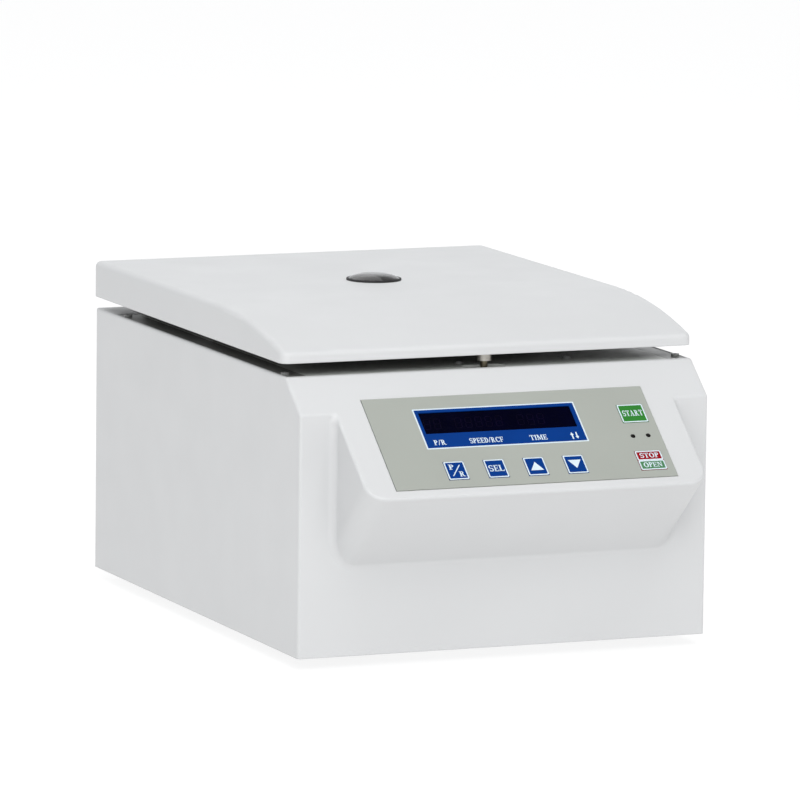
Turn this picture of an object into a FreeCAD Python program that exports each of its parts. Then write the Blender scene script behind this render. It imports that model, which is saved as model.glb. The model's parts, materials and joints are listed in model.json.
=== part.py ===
import FreeCAD
import Part
import math
import os

# Laboratory centrifuge for small tubes, in millimetres.
#
# Working axes: x runs to the right seen from the front, y runs back from the casing's flat front
# face, and z runs up from the table. save() moves every piece so that the origin of the finished
# part lies on the table, in the middle of its outline.
#
# Console axes: pieces of the sloping console are built flat, with x across, y up the slope from
# the slope's upper edge and z out of the slope, and console() tips them into place.

Vector = FreeCAD.Vector

# ---- casing ----
casing_width = 300.0
casing_depth = 390.0
casing_height = 187.0
casing_wall = 2.5
casing_edge = 2.0
ground_gap = 8.0
slope_angle = 39.0
slope_run = 27.3
slope_bend = 4.5
shoulder_bend = 3.0

# ---- console standing out of the front ----
console_root_height = 69.0
console_corner = 14.0
console_blend = 5.6
console_edge = 1.8

# ---- lid ----
lid_gap = 8.6
lid_height = 25.4
lid_side_overhang = 1.2
lid_rear_overhang = 1.4
lid_front_setback = 29.7
lid_front_height = 7.4
lid_curve_length = 120.3
lid_wall = 2.5
lid_edge = 4.0
lid_front_corner = 6.0
lid_rear_corner = 4.5
liner_thickness = 2.0
liner_recess = 1.0
lid_plate_thickness = 1.5
lid_plate_margin = 14.0
lid_boss_radius = 4.0

# ---- general clearances and fasteners ----
running_clearance = 0.05
panel_clearance = 0.3
screw_clearance = 0.05
small_screw_radius = 1.5
small_screw_head_radius = 2.8
small_screw_head_height = 1.6
small_screw_length = 6.0
large_screw_radius = 2.0
large_screw_head_radius = 3.8
large_screw_head_height = 2.2
large_screw_length = 9.0

# ---- deck and chamber ----
deck_thickness = 3.0
deck_drop = 0.3
deck_front = 30.0
deck_rear_strip = 38.0
deck_ledge_width = 6.0
deck_ledge_height = 3.0
deck_tab_width = 30.0
deck_tab_offset = 100.0
chamber_rear_distance = 155.0
bowl_radius = 106.5
bowl_wall = 1.5
bowl_depth = 78.0
bowl_corner = 12.0
bowl_flange_width = 7.5
bowl_hole_radius = 22.0
bowl_clearance = 1.8
seal_width = 6.0
seal_base_height = 3.0
seal_lip_width = 2.4
seal_compression_gap = 0.3
guard_wall = 4.0
guard_gap = 0.2
guard_height = 79.0
guard_post_radius = 5.0
guard_post_angle = 45.0

# ---- base and feet ----
base_thickness = 2.0
base_recess = 3.0
base_boss = 13.0
base_boss_height = 14.0
foot_radius = 16.0
foot_side_inset = 55.0
foot_end_inset = 68.0
foot_recess_radius = 6.0
foot_recess_depth = 5.0
base_slot_count = 9
base_slot_length = 60.0
base_slot_width = 4.0
base_slot_pitch = 10.0

# ---- rear panel, mains inlet and switch ----
rear_panel_thickness = 2.0
rear_panel_recess = 3.0
rear_tab = 12.0
vent_rows = 9
vent_columns = 3
vent_length = 44.0
vent_width = 4.0
vent_pitch_x = 54.0
vent_pitch_z = 9.0
vent_centre_x = 45.0
vent_low = 62.0
inlet_side_margin = 50.0
inlet_z = 44.0
inlet_body_width = 27.0
inlet_body_height = 20.0
inlet_body_depth = 19.0
inlet_wall = 1.6
inlet_flange_width = 48.0
inlet_flange_height = 24.0
inlet_flange_thickness = 2.0
inlet_screw_spacing = 40.0
inlet_pin_width = 2.0
inlet_pin_height = 4.0
inlet_pin_length = 13.0
inlet_pin_spacing = 7.0
inlet_pin_drop = 2.0
switch_offset = 44.0
switch_z = 44.0
switch_width = 19.0
switch_height = 26.0
switch_depth = 15.0
switch_wall = 1.6
switch_flange = 2.5
switch_flange_thickness = 1.8
rocker_tilt = 7.0
rocker_pivot_depth = 3.0
rocker_pivot_radius = 1.5
rocker_clearance = 0.5

# ---- lid hinges ----
hinge_offset = 95.0
hinge_axis_inset = 3.5
hinge_barrel_radius = 3.8
hinge_pin_radius = 1.5
hinge_width = 40.0
hinge_knuckle_gap = 0.3
hinge_leaf_thickness = 1.6
hinge_leaf_length = 24.0
hinge_screw_spacing = 24.0

# ---- lid lock ----
striker_y = 39.0
striker_radius = 2.5
striker_collar_radius = 5.0
striker_collar_height = 6.0
striker_head_radius = 4.5
striker_head_depth = 14.7
striker_head_length = 4.0
striker_tip = 1.2
striker_rivet_radius = 3.5
striker_rivet_height = 0.8
striker_slot_radius = 6.5
striker_slot_half_length = 16.0
lock_travel = 8.0
lock_plate_thickness = 2.0
lock_plate_half_width = 9.0
lock_plate_length = 34.0
lock_release_gap = 1.0
lock_catch_gap = 1.0
lock_slot_reserve = 3.0
lock_slot_clearance = 0.6
lock_tab_height = 5.0
lock_tab_half_width = 5.5
bracket_wall = 2.0
bracket_floor_drop = 17.7
bracket_rail_width = 2.0
bracket_rail_height = 1.6
bracket_start = -20.0
bracket_end = 76.0
bracket_flange_width = 8.0
solenoid_start = 46.0
solenoid_length = 28.0
solenoid_top_gap = 0.7
plunger_radius = 3.0
plunger_insertion = 18.0
lock_sensor_clearance = 3.0
lock_sensor_length = 12.0
lock_sensor_half_width = 5.0
lock_sensor_gap = 1.0

# ---- drive ----
motor_radius = 44.0
motor_wall = 3.0
motor_height = 70.0
motor_plate_thickness = 3.0
motor_plate_half = 62.0
motor_mount_height = 17.0
motor_mount_radius = 10.0
motor_mount_offset = 48.0
motor_screw_circle = 32.0
motor_cover_thickness = 4.0
motor_cover_spigot = 3.0
motor_boss_radius = 19.0
motor_boss_height = 6.0
bearing_radius = 14.0
bearing_width = 8.0
bearing_race = 3.2
shaft_radius = 6.0
shaft_collar_radius = 11.0
shaft_collar_height = 6.0
shaft_end_gap = 2.0
stator_radius = 40.9
stator_bore = 25.0
stator_height = 28.0
stator_rise = 25.0
stator_slots = 12
stator_slot_width = 5.0
stator_slot_reach = 11.0
winding_overhang = 8.0
winding_clearance = 0.3
air_gap = 0.5
boot_wall = 2.4
boot_flange_width = 5.0
boot_flange_height = 2.5
boot_shaft_gap = 2.5

# ---- angle rotor ----
rotor_floor_gap = 10.0
rotor_radius = 91.0
rotor_height = 52.0
rotor_chamfer = 13.0
rotor_edge = 2.0
rotor_base_radius = 72.0
rotor_rim_inner = 64.0
rotor_hub_radius = 17.0
rotor_hub_height = 40.0
rotor_floor_height = 30.0
tube_count = 12
tube_radius = 8.5
tube_depth = 42.0
tube_mouth_radius = 52.0
tube_angle = 45.0
bolt_head_radius = 10.0
bolt_head_height = 6.0
bolt_shank_length = 22.0
stud_radius = 4.0
stud_length = 16.0
rotor_lid_radius = 85.0
rotor_lid_thickness = 3.0
rotor_lid_gap = 0.3
rotor_seal_radius = 76.0
rotor_seal_width = 2.6
rotor_seal_depth = 1.6
rotor_seal_gap = 0.1
knob_radius = 16.0
knob_height = 12.4
knob_neck_radius = 8.0
knob_grips = 10
knob_grip_radius = 3.0
knob_edge = 1.2
clip_radius = 11.5
clip_thickness = 1.6

# ---- window in the lid ----
window_radius = 17.0
window_rise = 3.6
window_thickness = 1.6
window_rim_width = 2.4
window_rim_height = 1.0
window_tube_wall = 1.5

# ---- console face ----
overlay_width = 206.0
overlay_length = 83.0
overlay_drop = 23.5
overlay_side_margin = 21.3
overlay_tip_margin = 7.5
overlay_thickness = 1.0
overlay_rise = 0.3
display_x = -10.5
display_width = 111.0
display_length = 19.3
display_drop = 47.8
display_recess = 0.3
display_module_margin = 4.0
display_module_gap = 1.5
key_width = 14.6
key_length = 16.0
key_pitch = 29.0
first_key_x = -55.0
key_row_inset = 15.2
key_rise = 0.6
key_clearance = 0.25
key_flange = 1.0
key_flange_thickness = 1.5
key_travel = 0.5
key_stem_radius = 1.6
key_stem_length = 3.0
start_key_inset = 14.4
start_key_width = 18.8
start_key_length = 16.2
start_key_drop = 48.3
stop_key_inset = 15.4
stop_key_width = 18.9
stop_key_length = 17.0
lamp_inset = 15.2
lamp_spacing = 11.3
lamp_drop = 68.7
lamp_radius = 1.4
lamp_rise = 0.35
board_depth = 12.0
board_thickness = 1.6
board_end_margin = 5.5
board_lowering = 2.0
board_post_radius = 2.5
board_post_inset = 4.0
board_post_clearance = 6.5
key_switch_size = 6.0
key_switch_gap = 0.3

# ---- driver board on the base ----
driver_width = 200.0
driver_length = 78.0
driver_front = 24.0
driver_post_height = 9.0
driver_post_radius = 4.0
capacitor_radius = 11.0
capacitor_height = 32.0
capacitor_count = 3
capacitor_pitch = 28.0
heat_sink_width = 60.0
heat_sink_depth = 24.0
heat_sink_height = 34.0
heat_sink_fins = 6

# ---- levels and places that follow from the sizes above ----
chamber_axis_y = casing_depth - chamber_rear_distance
casing_top = ground_gap + casing_height
slope_rise = slope_run * math.tan(math.radians(slope_angle))
slope_foot = casing_top - slope_rise
console_half = overlay_width / 2 + overlay_side_margin
console_length = overlay_drop + overlay_length + overlay_tip_margin
console_reach = console_length * math.cos(math.radians(slope_angle)) - slope_run
console_tip = casing_top - console_length * math.sin(math.radians(slope_angle))
base_bottom = ground_gap + base_recess
base_top = base_bottom + base_thickness
deck_top = casing_top - deck_drop
deck_bottom = deck_top - deck_thickness
deck_rear = casing_depth - deck_rear_strip
deck_half = casing_width / 2 - casing_wall - panel_clearance
bowl_floor = deck_top - bowl_depth
bowl_underside = bowl_floor - bowl_wall
bowl_flange_radius = bowl_radius + bowl_flange_width
guard_inner = bowl_radius + bowl_clearance + guard_gap
guard_bottom = deck_bottom - guard_height
lid_bottom = casing_top + lid_gap
lid_top = lid_bottom + lid_height
lid_half = casing_width / 2 + lid_side_overhang
lid_rear = casing_depth + lid_rear_overhang
liner_bottom = lid_bottom + liner_recess
liner_top = liner_bottom + liner_thickness
lid_plate_top = liner_top + lid_plate_thickness
lid_rise = lid_height - lid_front_height
lid_curve_radius = (lid_curve_length ** 2 + lid_rise ** 2) / (2 * lid_rise)
hinge_axis_y = casing_depth - hinge_axis_inset
hinge_axis_z = casing_top + lid_gap / 2
rotor_bottom = bowl_floor + rotor_floor_gap
rotor_top = rotor_bottom + rotor_height
rotor_dish_inner = rotor_rim_inner - (rotor_height - rotor_floor_height) * math.tan(math.radians(tube_angle))
motor_plate_bottom = base_top + motor_mount_height
motor_bottom = motor_plate_bottom + motor_plate_thickness
motor_top = motor_bottom + motor_height
motor_cover_top = motor_top + motor_cover_thickness
motor_boss_top = motor_cover_top + motor_boss_height
lower_bearing_bottom = motor_bottom + motor_wall + 2 * air_gap
upper_bearing_bottom = motor_boss_top - bearing_width
stator_bottom = motor_bottom + stator_rise
rotor_lid_bottom = rotor_top + rotor_lid_gap
rotor_lid_top = rotor_lid_bottom + rotor_lid_thickness
striker_head_top = deck_top - striker_head_depth
striker_foot = striker_head_top - striker_head_length
lock_plate_low = striker_head_top + lock_catch_gap
lock_plate_high = lock_plate_low + lock_plate_thickness
lock_plate_middle = (lock_plate_low + lock_plate_high) / 2
lock_plate_start = striker_head_radius + lock_release_gap
lock_plate_end = lock_plate_start + lock_plate_length
lock_slot_depth = lock_travel + lock_slot_reserve
lock_sensor_end = lock_plate_end - bracket_wall - lock_travel - lock_sensor_clearance
bracket_floor = deck_bottom - bracket_floor_drop
bracket_inner_half = lock_plate_half_width + panel_clearance
rear_panel_back = casing_depth - rear_panel_recess
inlet_x = inlet_side_margin - casing_width / 2
switch_x = inlet_x + switch_offset
rear_panel_front = rear_panel_back - rear_panel_thickness
overlay_floor = overlay_rise - overlay_thickness
board_top = -board_depth
board_middle_drop = overlay_drop + overlay_length / 2 + board_lowering
board_length = overlay_length - 2 * board_end_margin
key_row_drop = overlay_drop + overlay_length - key_row_inset
start_key_x = overlay_width / 2 - start_key_inset
stop_key_x = overlay_width / 2 - stop_key_inset
lamp_x = overlay_width / 2 - lamp_inset
display_module_top = -casing_wall - display_module_gap
rocker_pivot_y = rear_panel_back + switch_flange_thickness - rocker_pivot_depth
knob_bottom = rotor_lid_top + rotor_lid_gap
knob_top = knob_bottom + knob_height
clip_top = rotor_lid_bottom - rotor_lid_gap
clip_bottom = clip_top - clip_thickness
bolt_head_bottom = rotor_bottom + rotor_hub_height
bolt_head_top = bolt_head_bottom + bolt_head_height

key_layout = {
    "key_program": (first_key_x, key_row_drop, key_width, key_length),
    "key_select": (first_key_x + key_pitch, key_row_drop, key_width, key_length),
    "key_up": (first_key_x + 2 * key_pitch, key_row_drop, key_width, key_length),
    "key_down": (first_key_x + 3 * key_pitch, key_row_drop, key_width, key_length),
    "key_start": (start_key_x, start_key_drop, start_key_width, start_key_length),
    "key_stop": (stop_key_x, key_row_drop, stop_key_width, stop_key_length),
}
lamp_places = [(lamp_x - lamp_spacing / 2, lamp_drop), (lamp_x + lamp_spacing / 2, lamp_drop)]


# ---- shared shapes ----
def block(x0, x1, y0, y1, z0, z1):
    """Box between two corners."""
    return Part.makeBox(x1 - x0, y1 - y0, z1 - z0, Vector(x0, y0, z0))


def upright(radius, x, y, z0, z1):
    """Upright cylinder."""
    return Part.makeCylinder(radius, z1 - z0, Vector(x, y, z0))


def along_x(radius, y, z, x0, x1):
    """Cylinder lying along x."""
    return Part.makeCylinder(radius, x1 - x0, Vector(x0, y, z), Vector(1, 0, 0))


def prism_x(outline, x0, x1):
    """Outline of (y, z) points drawn out along x."""
    corners = [Vector(x0, y, z) for y, z in outline]
    wire = Part.makePolygon(corners + [corners[0]])
    return Part.Face(wire).extrude(Vector(x1 - x0, 0, 0))


def turned(outline, x=0.0, y=chamber_axis_y):
    """Outline of (radius, height) points turned about an upright axis."""
    corners = [Vector(x + radius, y, height) for radius, height in outline]
    wire = Part.makePolygon(corners + [corners[0]])
    return Part.Face(wire).revolve(Vector(x, y, 0), Vector(0, 0, 1), 360)


def edges_where(shape, test):
    """Edges whose middle point passes the test."""
    found = []
    for edge in shape.Edges:
        middle = edge.valueAt((edge.FirstParameter + edge.LastParameter) / 2)
        if test(middle):
            found.append(edge)
    return found


def near(value, target):
    """True where two lengths agree."""
    return abs(value - target) < 0.05


def inset_outline(points, inset):
    """Move every side of an anticlockwise convex outline inwards."""
    sides = []
    for index, (y0, z0) in enumerate(points):
        y1, z1 = points[(index + 1) % len(points)]
        length = math.hypot(y1 - y0, z1 - z0)
        normal_y = (z0 - z1) / length
        normal_z = (y1 - y0) / length
        sides.append((normal_y, normal_z, normal_y * y0 + normal_z * z0 + inset))
    corners = []
    for index in range(len(sides)):
        a0, b0, c0 = sides[index - 1]
        a1, b1, c1 = sides[index]
        spread = a0 * b1 - a1 * b0
        corners.append(((c0 * b1 - c1 * b0) / spread, (a0 * c1 - a1 * c0) / spread))
    return corners


def console(shape):
    """Tip a piece from the console's own axes onto the slope."""
    tipped = shape.copy()
    turn = FreeCAD.Rotation(Vector(1, 0, 0), slope_angle)
    tipped.Placement = FreeCAD.Placement(Vector(0, slope_run, casing_top), turn).multiply(shape.Placement)
    return tipped


def pad(x, drop, width, length, z0, z1):
    """Flat block of the console, centred at x and at a distance down the slope."""
    return block(x - width / 2, x + width / 2, -drop - length / 2, -drop + length / 2, z0, z1)


def screw(size, x, y, z, direction):
    """Cap screw whose head bears on the point given and whose shank runs along the direction."""
    radius, head_radius, head_height, length = size
    head = Part.makeCylinder(head_radius, head_height, Vector(0, 0, -head_height))
    shank = Part.makeCylinder(radius, length)
    socket = Part.makeCylinder(head_radius / 2, head_height / 2, Vector(0, 0, -head_height))
    piece = head.fuse(shank).removeSplitter().cut(socket)
    piece.Placement = FreeCAD.Placement(Vector(x, y, z), FreeCAD.Rotation(Vector(0, 0, 1), direction))
    return piece


def screw_hole(size, x, y, z, direction):
    """Hole for the shank of a screw placed by screw()."""
    radius, head_radius, head_height, length = size
    hole = Part.makeCylinder(radius + screw_clearance, length + head_height, Vector(0, 0, -head_height))
    hole.Placement = FreeCAD.Placement(Vector(x, y, z), FreeCAD.Rotation(Vector(0, 0, 1), direction))
    return hole


def cut_all(shape, tools):
    """Cut a list of shapes out of one."""
    return shape.cut(Part.Compound(tools))


def join(shapes):
    """Fuse pieces into one solid."""
    return shapes[0].multiFuse(shapes[1:]).removeSplitter()


small_screw = (small_screw_radius, small_screw_head_radius, small_screw_head_height, small_screw_length)
large_screw = (large_screw_radius, large_screw_head_radius, large_screw_head_height, large_screw_length)
up = Vector(0, 0, 1)
down = Vector(0, 0, -1)
forwards = Vector(0, -1, 0)


# ---- fastener places ----
def corner_places(x, front, rear):
    """Four (x, y) places in a rectangle about the middle plane."""
    return [(side * x, y) for side in (-1, 1) for y in (front, rear)]


def chamber_places(offset):
    """Four (x, y) places in a square about the chamber axis."""
    return corner_places(offset, chamber_axis_y - offset, chamber_axis_y + offset)


foot_places = corner_places(casing_width / 2 - foot_side_inset, foot_end_inset, casing_depth - foot_end_inset)
base_boss_x = casing_width / 2 - casing_wall - base_boss / 2
base_boss_front = casing_wall + base_boss / 2
base_boss_rear = rear_panel_front - rear_tab / 2 - base_boss
base_boss_places = corner_places(base_boss_x, base_boss_front, base_boss_rear)
mount_places = chamber_places(motor_mount_offset)
motor_screw_places = chamber_places(motor_screw_circle / math.sqrt(2))
deck_screw_x = deck_half - deck_ledge_width / 2
deck_screw_front = deck_front + deck_ledge_width * 2
deck_screw_rear = deck_rear - deck_ledge_width * 2
deck_screw_places = corner_places(deck_screw_x, deck_screw_front, deck_screw_rear)
rear_tab_x = casing_width / 2 - casing_wall - rear_tab / 2
rear_tab_low = base_top + rear_tab
rear_tab_high = casing_top - casing_wall - rear_tab
rear_screw_places = corner_places(rear_tab_x, rear_tab_low, rear_tab_high)
hinge_centres = [-hinge_offset, hinge_offset]
hinge_leaf_end = hinge_axis_y - hinge_barrel_radius
hinge_screw_y = hinge_leaf_end - hinge_leaf_length / 2
hinge_screw_x = [
    centre + side * hinge_screw_spacing / 2
    for centre in hinge_centres
    for side in (-1, 1)
]
liner_screw_x = lid_half - lid_wall - lid_boss_radius - panel_clearance
liner_screw_front = lid_front_setback + lid_curve_length / 3
liner_screw_rear = lid_rear - lid_wall - lid_boss_radius - panel_clearance
liner_screw_places = corner_places(liner_screw_x, liner_screw_front, liner_screw_rear)
bracket_screw_x = [bracket_start + bracket_flange_width, bracket_end - bracket_flange_width]
bracket_screw_y = [
    striker_y - bracket_inner_half - bracket_wall - bracket_flange_width / 2,
    striker_y + bracket_inner_half + bracket_wall + bracket_flange_width / 2,
]
bracket_screw_places = [(x, bracket_screw_y[1]) for x in bracket_screw_x]
inlet_screw_x = [inlet_x - inlet_screw_spacing / 2, inlet_x + inlet_screw_spacing / 2]
start_key_side = start_key_x + start_key_width / 2 + key_flange
board_post_x = start_key_side + board_post_clearance + board_post_radius
board_width = 2 * (board_post_x + board_post_inset)
board_post_reach = board_length / 2 - board_post_inset
board_post_places = [
    (side * board_post_x, board_middle_drop + end * board_post_reach)
    for side in (-1, 1)
    for end in (-1, 1)
]


# ---- casing ----
def casing_form(inset, bottom, rear):
    """Box with its front top edge cut off and the console wedge in front, inset all round."""
    slope = math.tan(math.radians(slope_angle))
    seat = slope_run / 3
    seat_top = casing_top - (slope_run - seat) * slope
    body_outline = [(0, bottom), (rear, bottom), (rear, casing_top), (slope_run, casing_top), (0, slope_foot)]
    wedge_outline = [
        (-console_reach, console_tip),
        (0, console_root_height),
        (seat, console_root_height),
        (seat, seat_top),
    ]
    half = casing_width / 2 - inset
    wedge_half = console_half - inset
    body = prism_x(inset_outline(body_outline, inset), -half, half)
    wedge = prism_x(inset_outline(wedge_outline, inset), -wedge_half, wedge_half)
    middle_y = -console_reach / 2
    underside = edges_where(
        wedge,
        lambda p: near(abs(p.x), wedge_half) and abs(p.y - middle_y) < inset + 1 and p.z < console_tip,
    )
    wedge = wedge.makeFillet(console_corner - inset, underside)
    return body.fuse(wedge).removeSplitter()


def above_slope(point):
    """Distance of a point out of the slope's plane."""
    angle = math.radians(slope_angle)
    return (slope_run - point.y) * math.sin(angle) + (point.z - casing_top) * math.cos(angle)


def casing_skin():
    """Outer form of the casing with its bends and edges rounded."""
    form = casing_form(0, ground_gap, casing_depth)
    rim = edges_where(form, lambda p: near(above_slope(p), 0) and p.y < -console_edge)
    form = form.makeFillet(console_edge, rim)
    shoulders = edges_where(form, lambda p: near(p.y, 0) and near(p.z, slope_foot))
    form = form.makeFillet(shoulder_bend, shoulders)
    blend = console_blend
    face_edges = edges_where(form, lambda p: near(p.y, 0) and abs(p.x) < console_half + blend)
    root = [edge for edge in face_edges if ground_gap + blend < edge.CenterOfMass.z < slope_foot - blend]
    form = form.makeFillet(blend, root)
    bend = edges_where(form, lambda p: near(p.y, slope_run) and near(p.z, casing_top))
    form = form.makeFillet(slope_bend, bend)
    sides = edges_where(form, lambda p: near(abs(p.x), casing_width / 2) and ground_gap < p.z)
    return form.makeFillet(casing_edge, [edge for edge in sides if edge.Length > slope_bend * 1.5])


def deck_ledges(skin):
    """Ledges inside the casing's top that carry the deck plate."""
    inner = casing_width / 2 - casing_wall
    low = deck_bottom - deck_ledge_height
    parts = []
    for side in (-1, 1):
        x0, x1 = sorted((side * (inner - deck_ledge_width), side * (inner + casing_wall / 2)))
        parts.append(block(x0, x1, deck_front, deck_rear, low, deck_bottom))
        tab = side * deck_tab_offset
        x0 = tab - deck_tab_width / 2
        x1 = tab + deck_tab_width / 2
        parts.append(block(x0, x1, 0, deck_front + deck_ledge_width, low, deck_bottom).common(skin))
    rear_ledge = deck_ledge_width / 2
    parts.append(block(-inner, inner, deck_rear - rear_ledge, deck_rear + rear_ledge, low, deck_bottom))
    step = deck_rear + panel_clearance
    parts.append(block(-inner, inner, step, deck_rear + rear_ledge, deck_bottom, casing_top - casing_wall / 2))
    return parts


def casing_bosses():
    """Blocks in the casing that take the screws of the base and of the rear panel."""
    parts = []
    half = base_boss / 2
    for x, y in base_boss_places:
        parts.append(block(x - half, x + half, y - half, y + half, base_top, base_top + base_boss_height))
    half = rear_tab / 2
    front = rear_panel_front - small_screw_length
    for x, z in rear_screw_places:
        parts.append(block(x - half, x + half, front, rear_panel_front, z - half, z + half))
    return parts


def console_cuts():
    """Recess of the overlay, and the holes for the display, keys and lamps."""
    through = 2 * casing_wall
    overlay_middle = overlay_drop + overlay_length / 2
    cuts = [pad(0, overlay_middle, overlay_width, overlay_length, overlay_floor, casing_wall)]
    window_width = display_width + 2 * panel_clearance
    window_length = display_length + 2 * panel_clearance
    cuts.append(pad(display_x, display_drop, window_width, window_length, -through, casing_wall))
    for x, drop, width, length in key_layout.values():
        width += 2 * key_clearance
        length += 2 * key_clearance
        cuts.append(pad(x, drop, width, length, -through, casing_wall))
    for x, drop in lamp_places:
        cuts.append(upright(lamp_radius + panel_clearance, x, -drop, -through, casing_wall))
    return [console(cut) for cut in cuts]


def make_casing():
    """One-piece casing shell, open below, behind and over the chamber."""
    skin = casing_skin()
    hollow = casing_form(casing_wall, ground_gap - 2 * casing_wall, casing_depth + 2 * casing_wall)
    shell = skin.cut(hollow)
    inner = casing_width / 2 - casing_wall
    front = deck_front - panel_clearance
    rear = deck_rear + panel_clearance
    opening = block(-inner, inner, front, rear, casing_top - 2 * casing_wall, casing_top + casing_wall)
    shell = shell.cut(opening)
    shell = join([shell] + deck_ledges(skin) + casing_bosses())
    cuts = console_cuts()
    cuts += [screw_hole(large_screw, x, y, base_bottom, up) for x, y in base_boss_places]
    cuts += [screw_hole(small_screw, x, rear_panel_back, z, forwards) for x, z in rear_screw_places]
    cuts += [screw_hole(small_screw, x, y, deck_top, down) for x, y in deck_screw_places]
    leaf_top = casing_top + hinge_leaf_thickness
    cuts += [screw_hole(small_screw, x, hinge_screw_y, leaf_top, down) for x in hinge_screw_x]
    return cut_all(shell, cuts)


def striker_slot():
    """Round-ended slot of the deck that the lid's striker drops through."""
    low = deck_bottom - 1
    high = deck_top + 1
    straight = striker_slot_half_length - striker_slot_radius
    y0 = striker_y - striker_slot_radius
    y1 = striker_y + striker_slot_radius
    parts = [block(-straight, straight, y0, y1, low, high)]
    parts += [upright(striker_slot_radius, x, striker_y, low, high) for x in (-straight, straight)]
    return join(parts)


def make_deck_plate():
    """Dark plate round the chamber, level with the casing's top."""
    front = deck_front
    plate = block(-deck_half, deck_half, front, deck_rear, deck_bottom, deck_top)
    seat_radius = bowl_flange_radius + panel_clearance
    opening = bowl_radius + bowl_clearance
    cuts = [
        upright(opening, 0, chamber_axis_y, deck_bottom - 1, deck_top + 1),
        upright(seat_radius, 0, chamber_axis_y, deck_top - bowl_wall, deck_top + 1),
        striker_slot(),
    ]
    screw_places = deck_screw_places + bracket_screw_places
    cuts += [screw_hole(small_screw, x, y, deck_top, down) for x, y in screw_places]
    return cut_all(plate, cuts)


def make_base_plate():
    """Steel floor that closes the casing from below, with air slots under the motor."""
    half = casing_width / 2 - casing_wall - panel_clearance
    front = casing_wall + panel_clearance
    plate = block(-half, half, front, rear_panel_back, base_bottom, base_top)
    cuts = []
    for place_list in (foot_places, base_boss_places):
        cuts += [screw_hole(large_screw, x, y, base_bottom, up) for x, y in place_list]
    first = -(base_slot_count - 1) / 2 * base_slot_pitch
    for index in range(base_slot_count):
        x = first + index * base_slot_pitch
        low = chamber_axis_y - base_slot_length / 2
        high = chamber_axis_y + base_slot_length / 2
        cuts.append(block(x - base_slot_width / 2, x + base_slot_width / 2, low, high, 0, base_top + 1))
    return cut_all(plate, cuts)


def make_rubber_feet():
    """Four round feet under the base plate."""
    feet = []
    for x, y in foot_places:
        foot = upright(foot_radius, x, y, 0, base_bottom)
        foot = foot.cut(upright(foot_recess_radius, x, y, 0, foot_recess_depth))
        feet.append(foot.cut(upright(large_screw_radius + screw_clearance, x, y, 0, base_bottom)))
    return feet


def make_rear_panel():
    """Rear cover with its air slots and the cut-outs for the inlet and the switch."""
    half = casing_width / 2 - casing_wall - panel_clearance
    high = casing_top - casing_wall - panel_clearance
    panel = block(-half, half, rear_panel_front, rear_panel_back, base_top, high)
    front = rear_panel_front - 1
    back = rear_panel_back + 1
    cuts = []
    for row in range(vent_rows):
        z = vent_low + row * vent_pitch_z
        for column in range(vent_columns):
            x = vent_centre_x + (column - (vent_columns - 1) / 2) * vent_pitch_x
            left = x - vent_length / 2
            cuts.append(block(left, left + vent_length, front, back, z, z + vent_width))
    width = inlet_body_width / 2 + panel_clearance
    height = inlet_body_height / 2 + panel_clearance
    cuts.append(block(inlet_x - width, inlet_x + width, front, back, inlet_z - height, inlet_z + height))
    width = switch_width / 2 + panel_clearance
    height = switch_height / 2 + panel_clearance
    cuts.append(block(switch_x - width, switch_x + width, front, back, switch_z - height, switch_z + height))
    cuts += [screw_hole(small_screw, x, rear_panel_back, z, forwards) for x, z in rear_screw_places]
    cuts += [screw_hole(small_screw, x, rear_panel_back, inlet_z, forwards) for x in inlet_screw_x]
    return cut_all(panel, cuts)


def make_base_screws():
    """Large screws of the base, feet, motor plate and motor."""
    screws = [screw(large_screw, x, y, base_bottom, up) for x, y in base_boss_places]
    screws += [screw(large_screw, x, y, foot_recess_depth, up) for x, y in foot_places]
    screws += [screw(large_screw, x, y, motor_bottom, down) for x, y in mount_places]
    screws += [screw(large_screw, x, y, motor_plate_bottom, up) for x, y in motor_screw_places]
    return screws


def make_panel_screws():
    """Small screws of the deck, lock bracket, hinges, rear panel and inlet."""
    screws = [screw(small_screw, x, y, deck_top, down) for x, y in deck_screw_places + bracket_screw_places]
    hinge_leaf_top = casing_top + hinge_leaf_thickness
    screws += [screw(small_screw, x, hinge_screw_y, hinge_leaf_top, down) for x in hinge_screw_x]
    screws += [screw(small_screw, x, rear_panel_back, z, forwards) for x, z in rear_screw_places]
    inlet_face = rear_panel_back + inlet_flange_thickness
    screws += [screw(small_screw, x, inlet_face, inlet_z, forwards) for x in inlet_screw_x]
    return screws


# ---- chamber ----
def make_chamber_bowl():
    """Deep-drawn steel bowl round the rotor, hung by its flange in the deck."""
    cup = upright(bowl_radius, 0, chamber_axis_y, bowl_underside, deck_top)
    lower = edges_where(cup, lambda p: near(p.z, bowl_underside))
    cup = cup.makeFillet(bowl_corner, lower)
    flange = upright(bowl_flange_radius, 0, chamber_axis_y, deck_top - bowl_wall, deck_top)
    hollow = upright(bowl_radius - bowl_wall, 0, chamber_axis_y, bowl_floor, deck_top + bowl_wall)
    lower = edges_where(hollow, lambda p: near(p.z, bowl_floor))
    hollow = hollow.makeFillet(bowl_corner - bowl_wall, lower)
    hole = upright(bowl_hole_radius, 0, chamber_axis_y, bowl_underside - 1, bowl_floor + 1)
    return cup.fuse(flange).removeSplitter().cut(hollow).cut(hole)


def make_chamber_seal():
    """Rubber lip seal between the bowl's flange and the lid."""
    inner = bowl_radius + panel_clearance
    outer = inner + seal_width
    lip = liner_bottom - seal_compression_gap
    outline = [
        (inner, deck_top),
        (outer, deck_top),
        (outer, deck_top + seal_base_height),
        (inner + seal_lip_width, deck_top + 2 * seal_base_height),
        (inner + seal_lip_width, lip),
        (inner, lip),
    ]
    return turned(outline)


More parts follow.
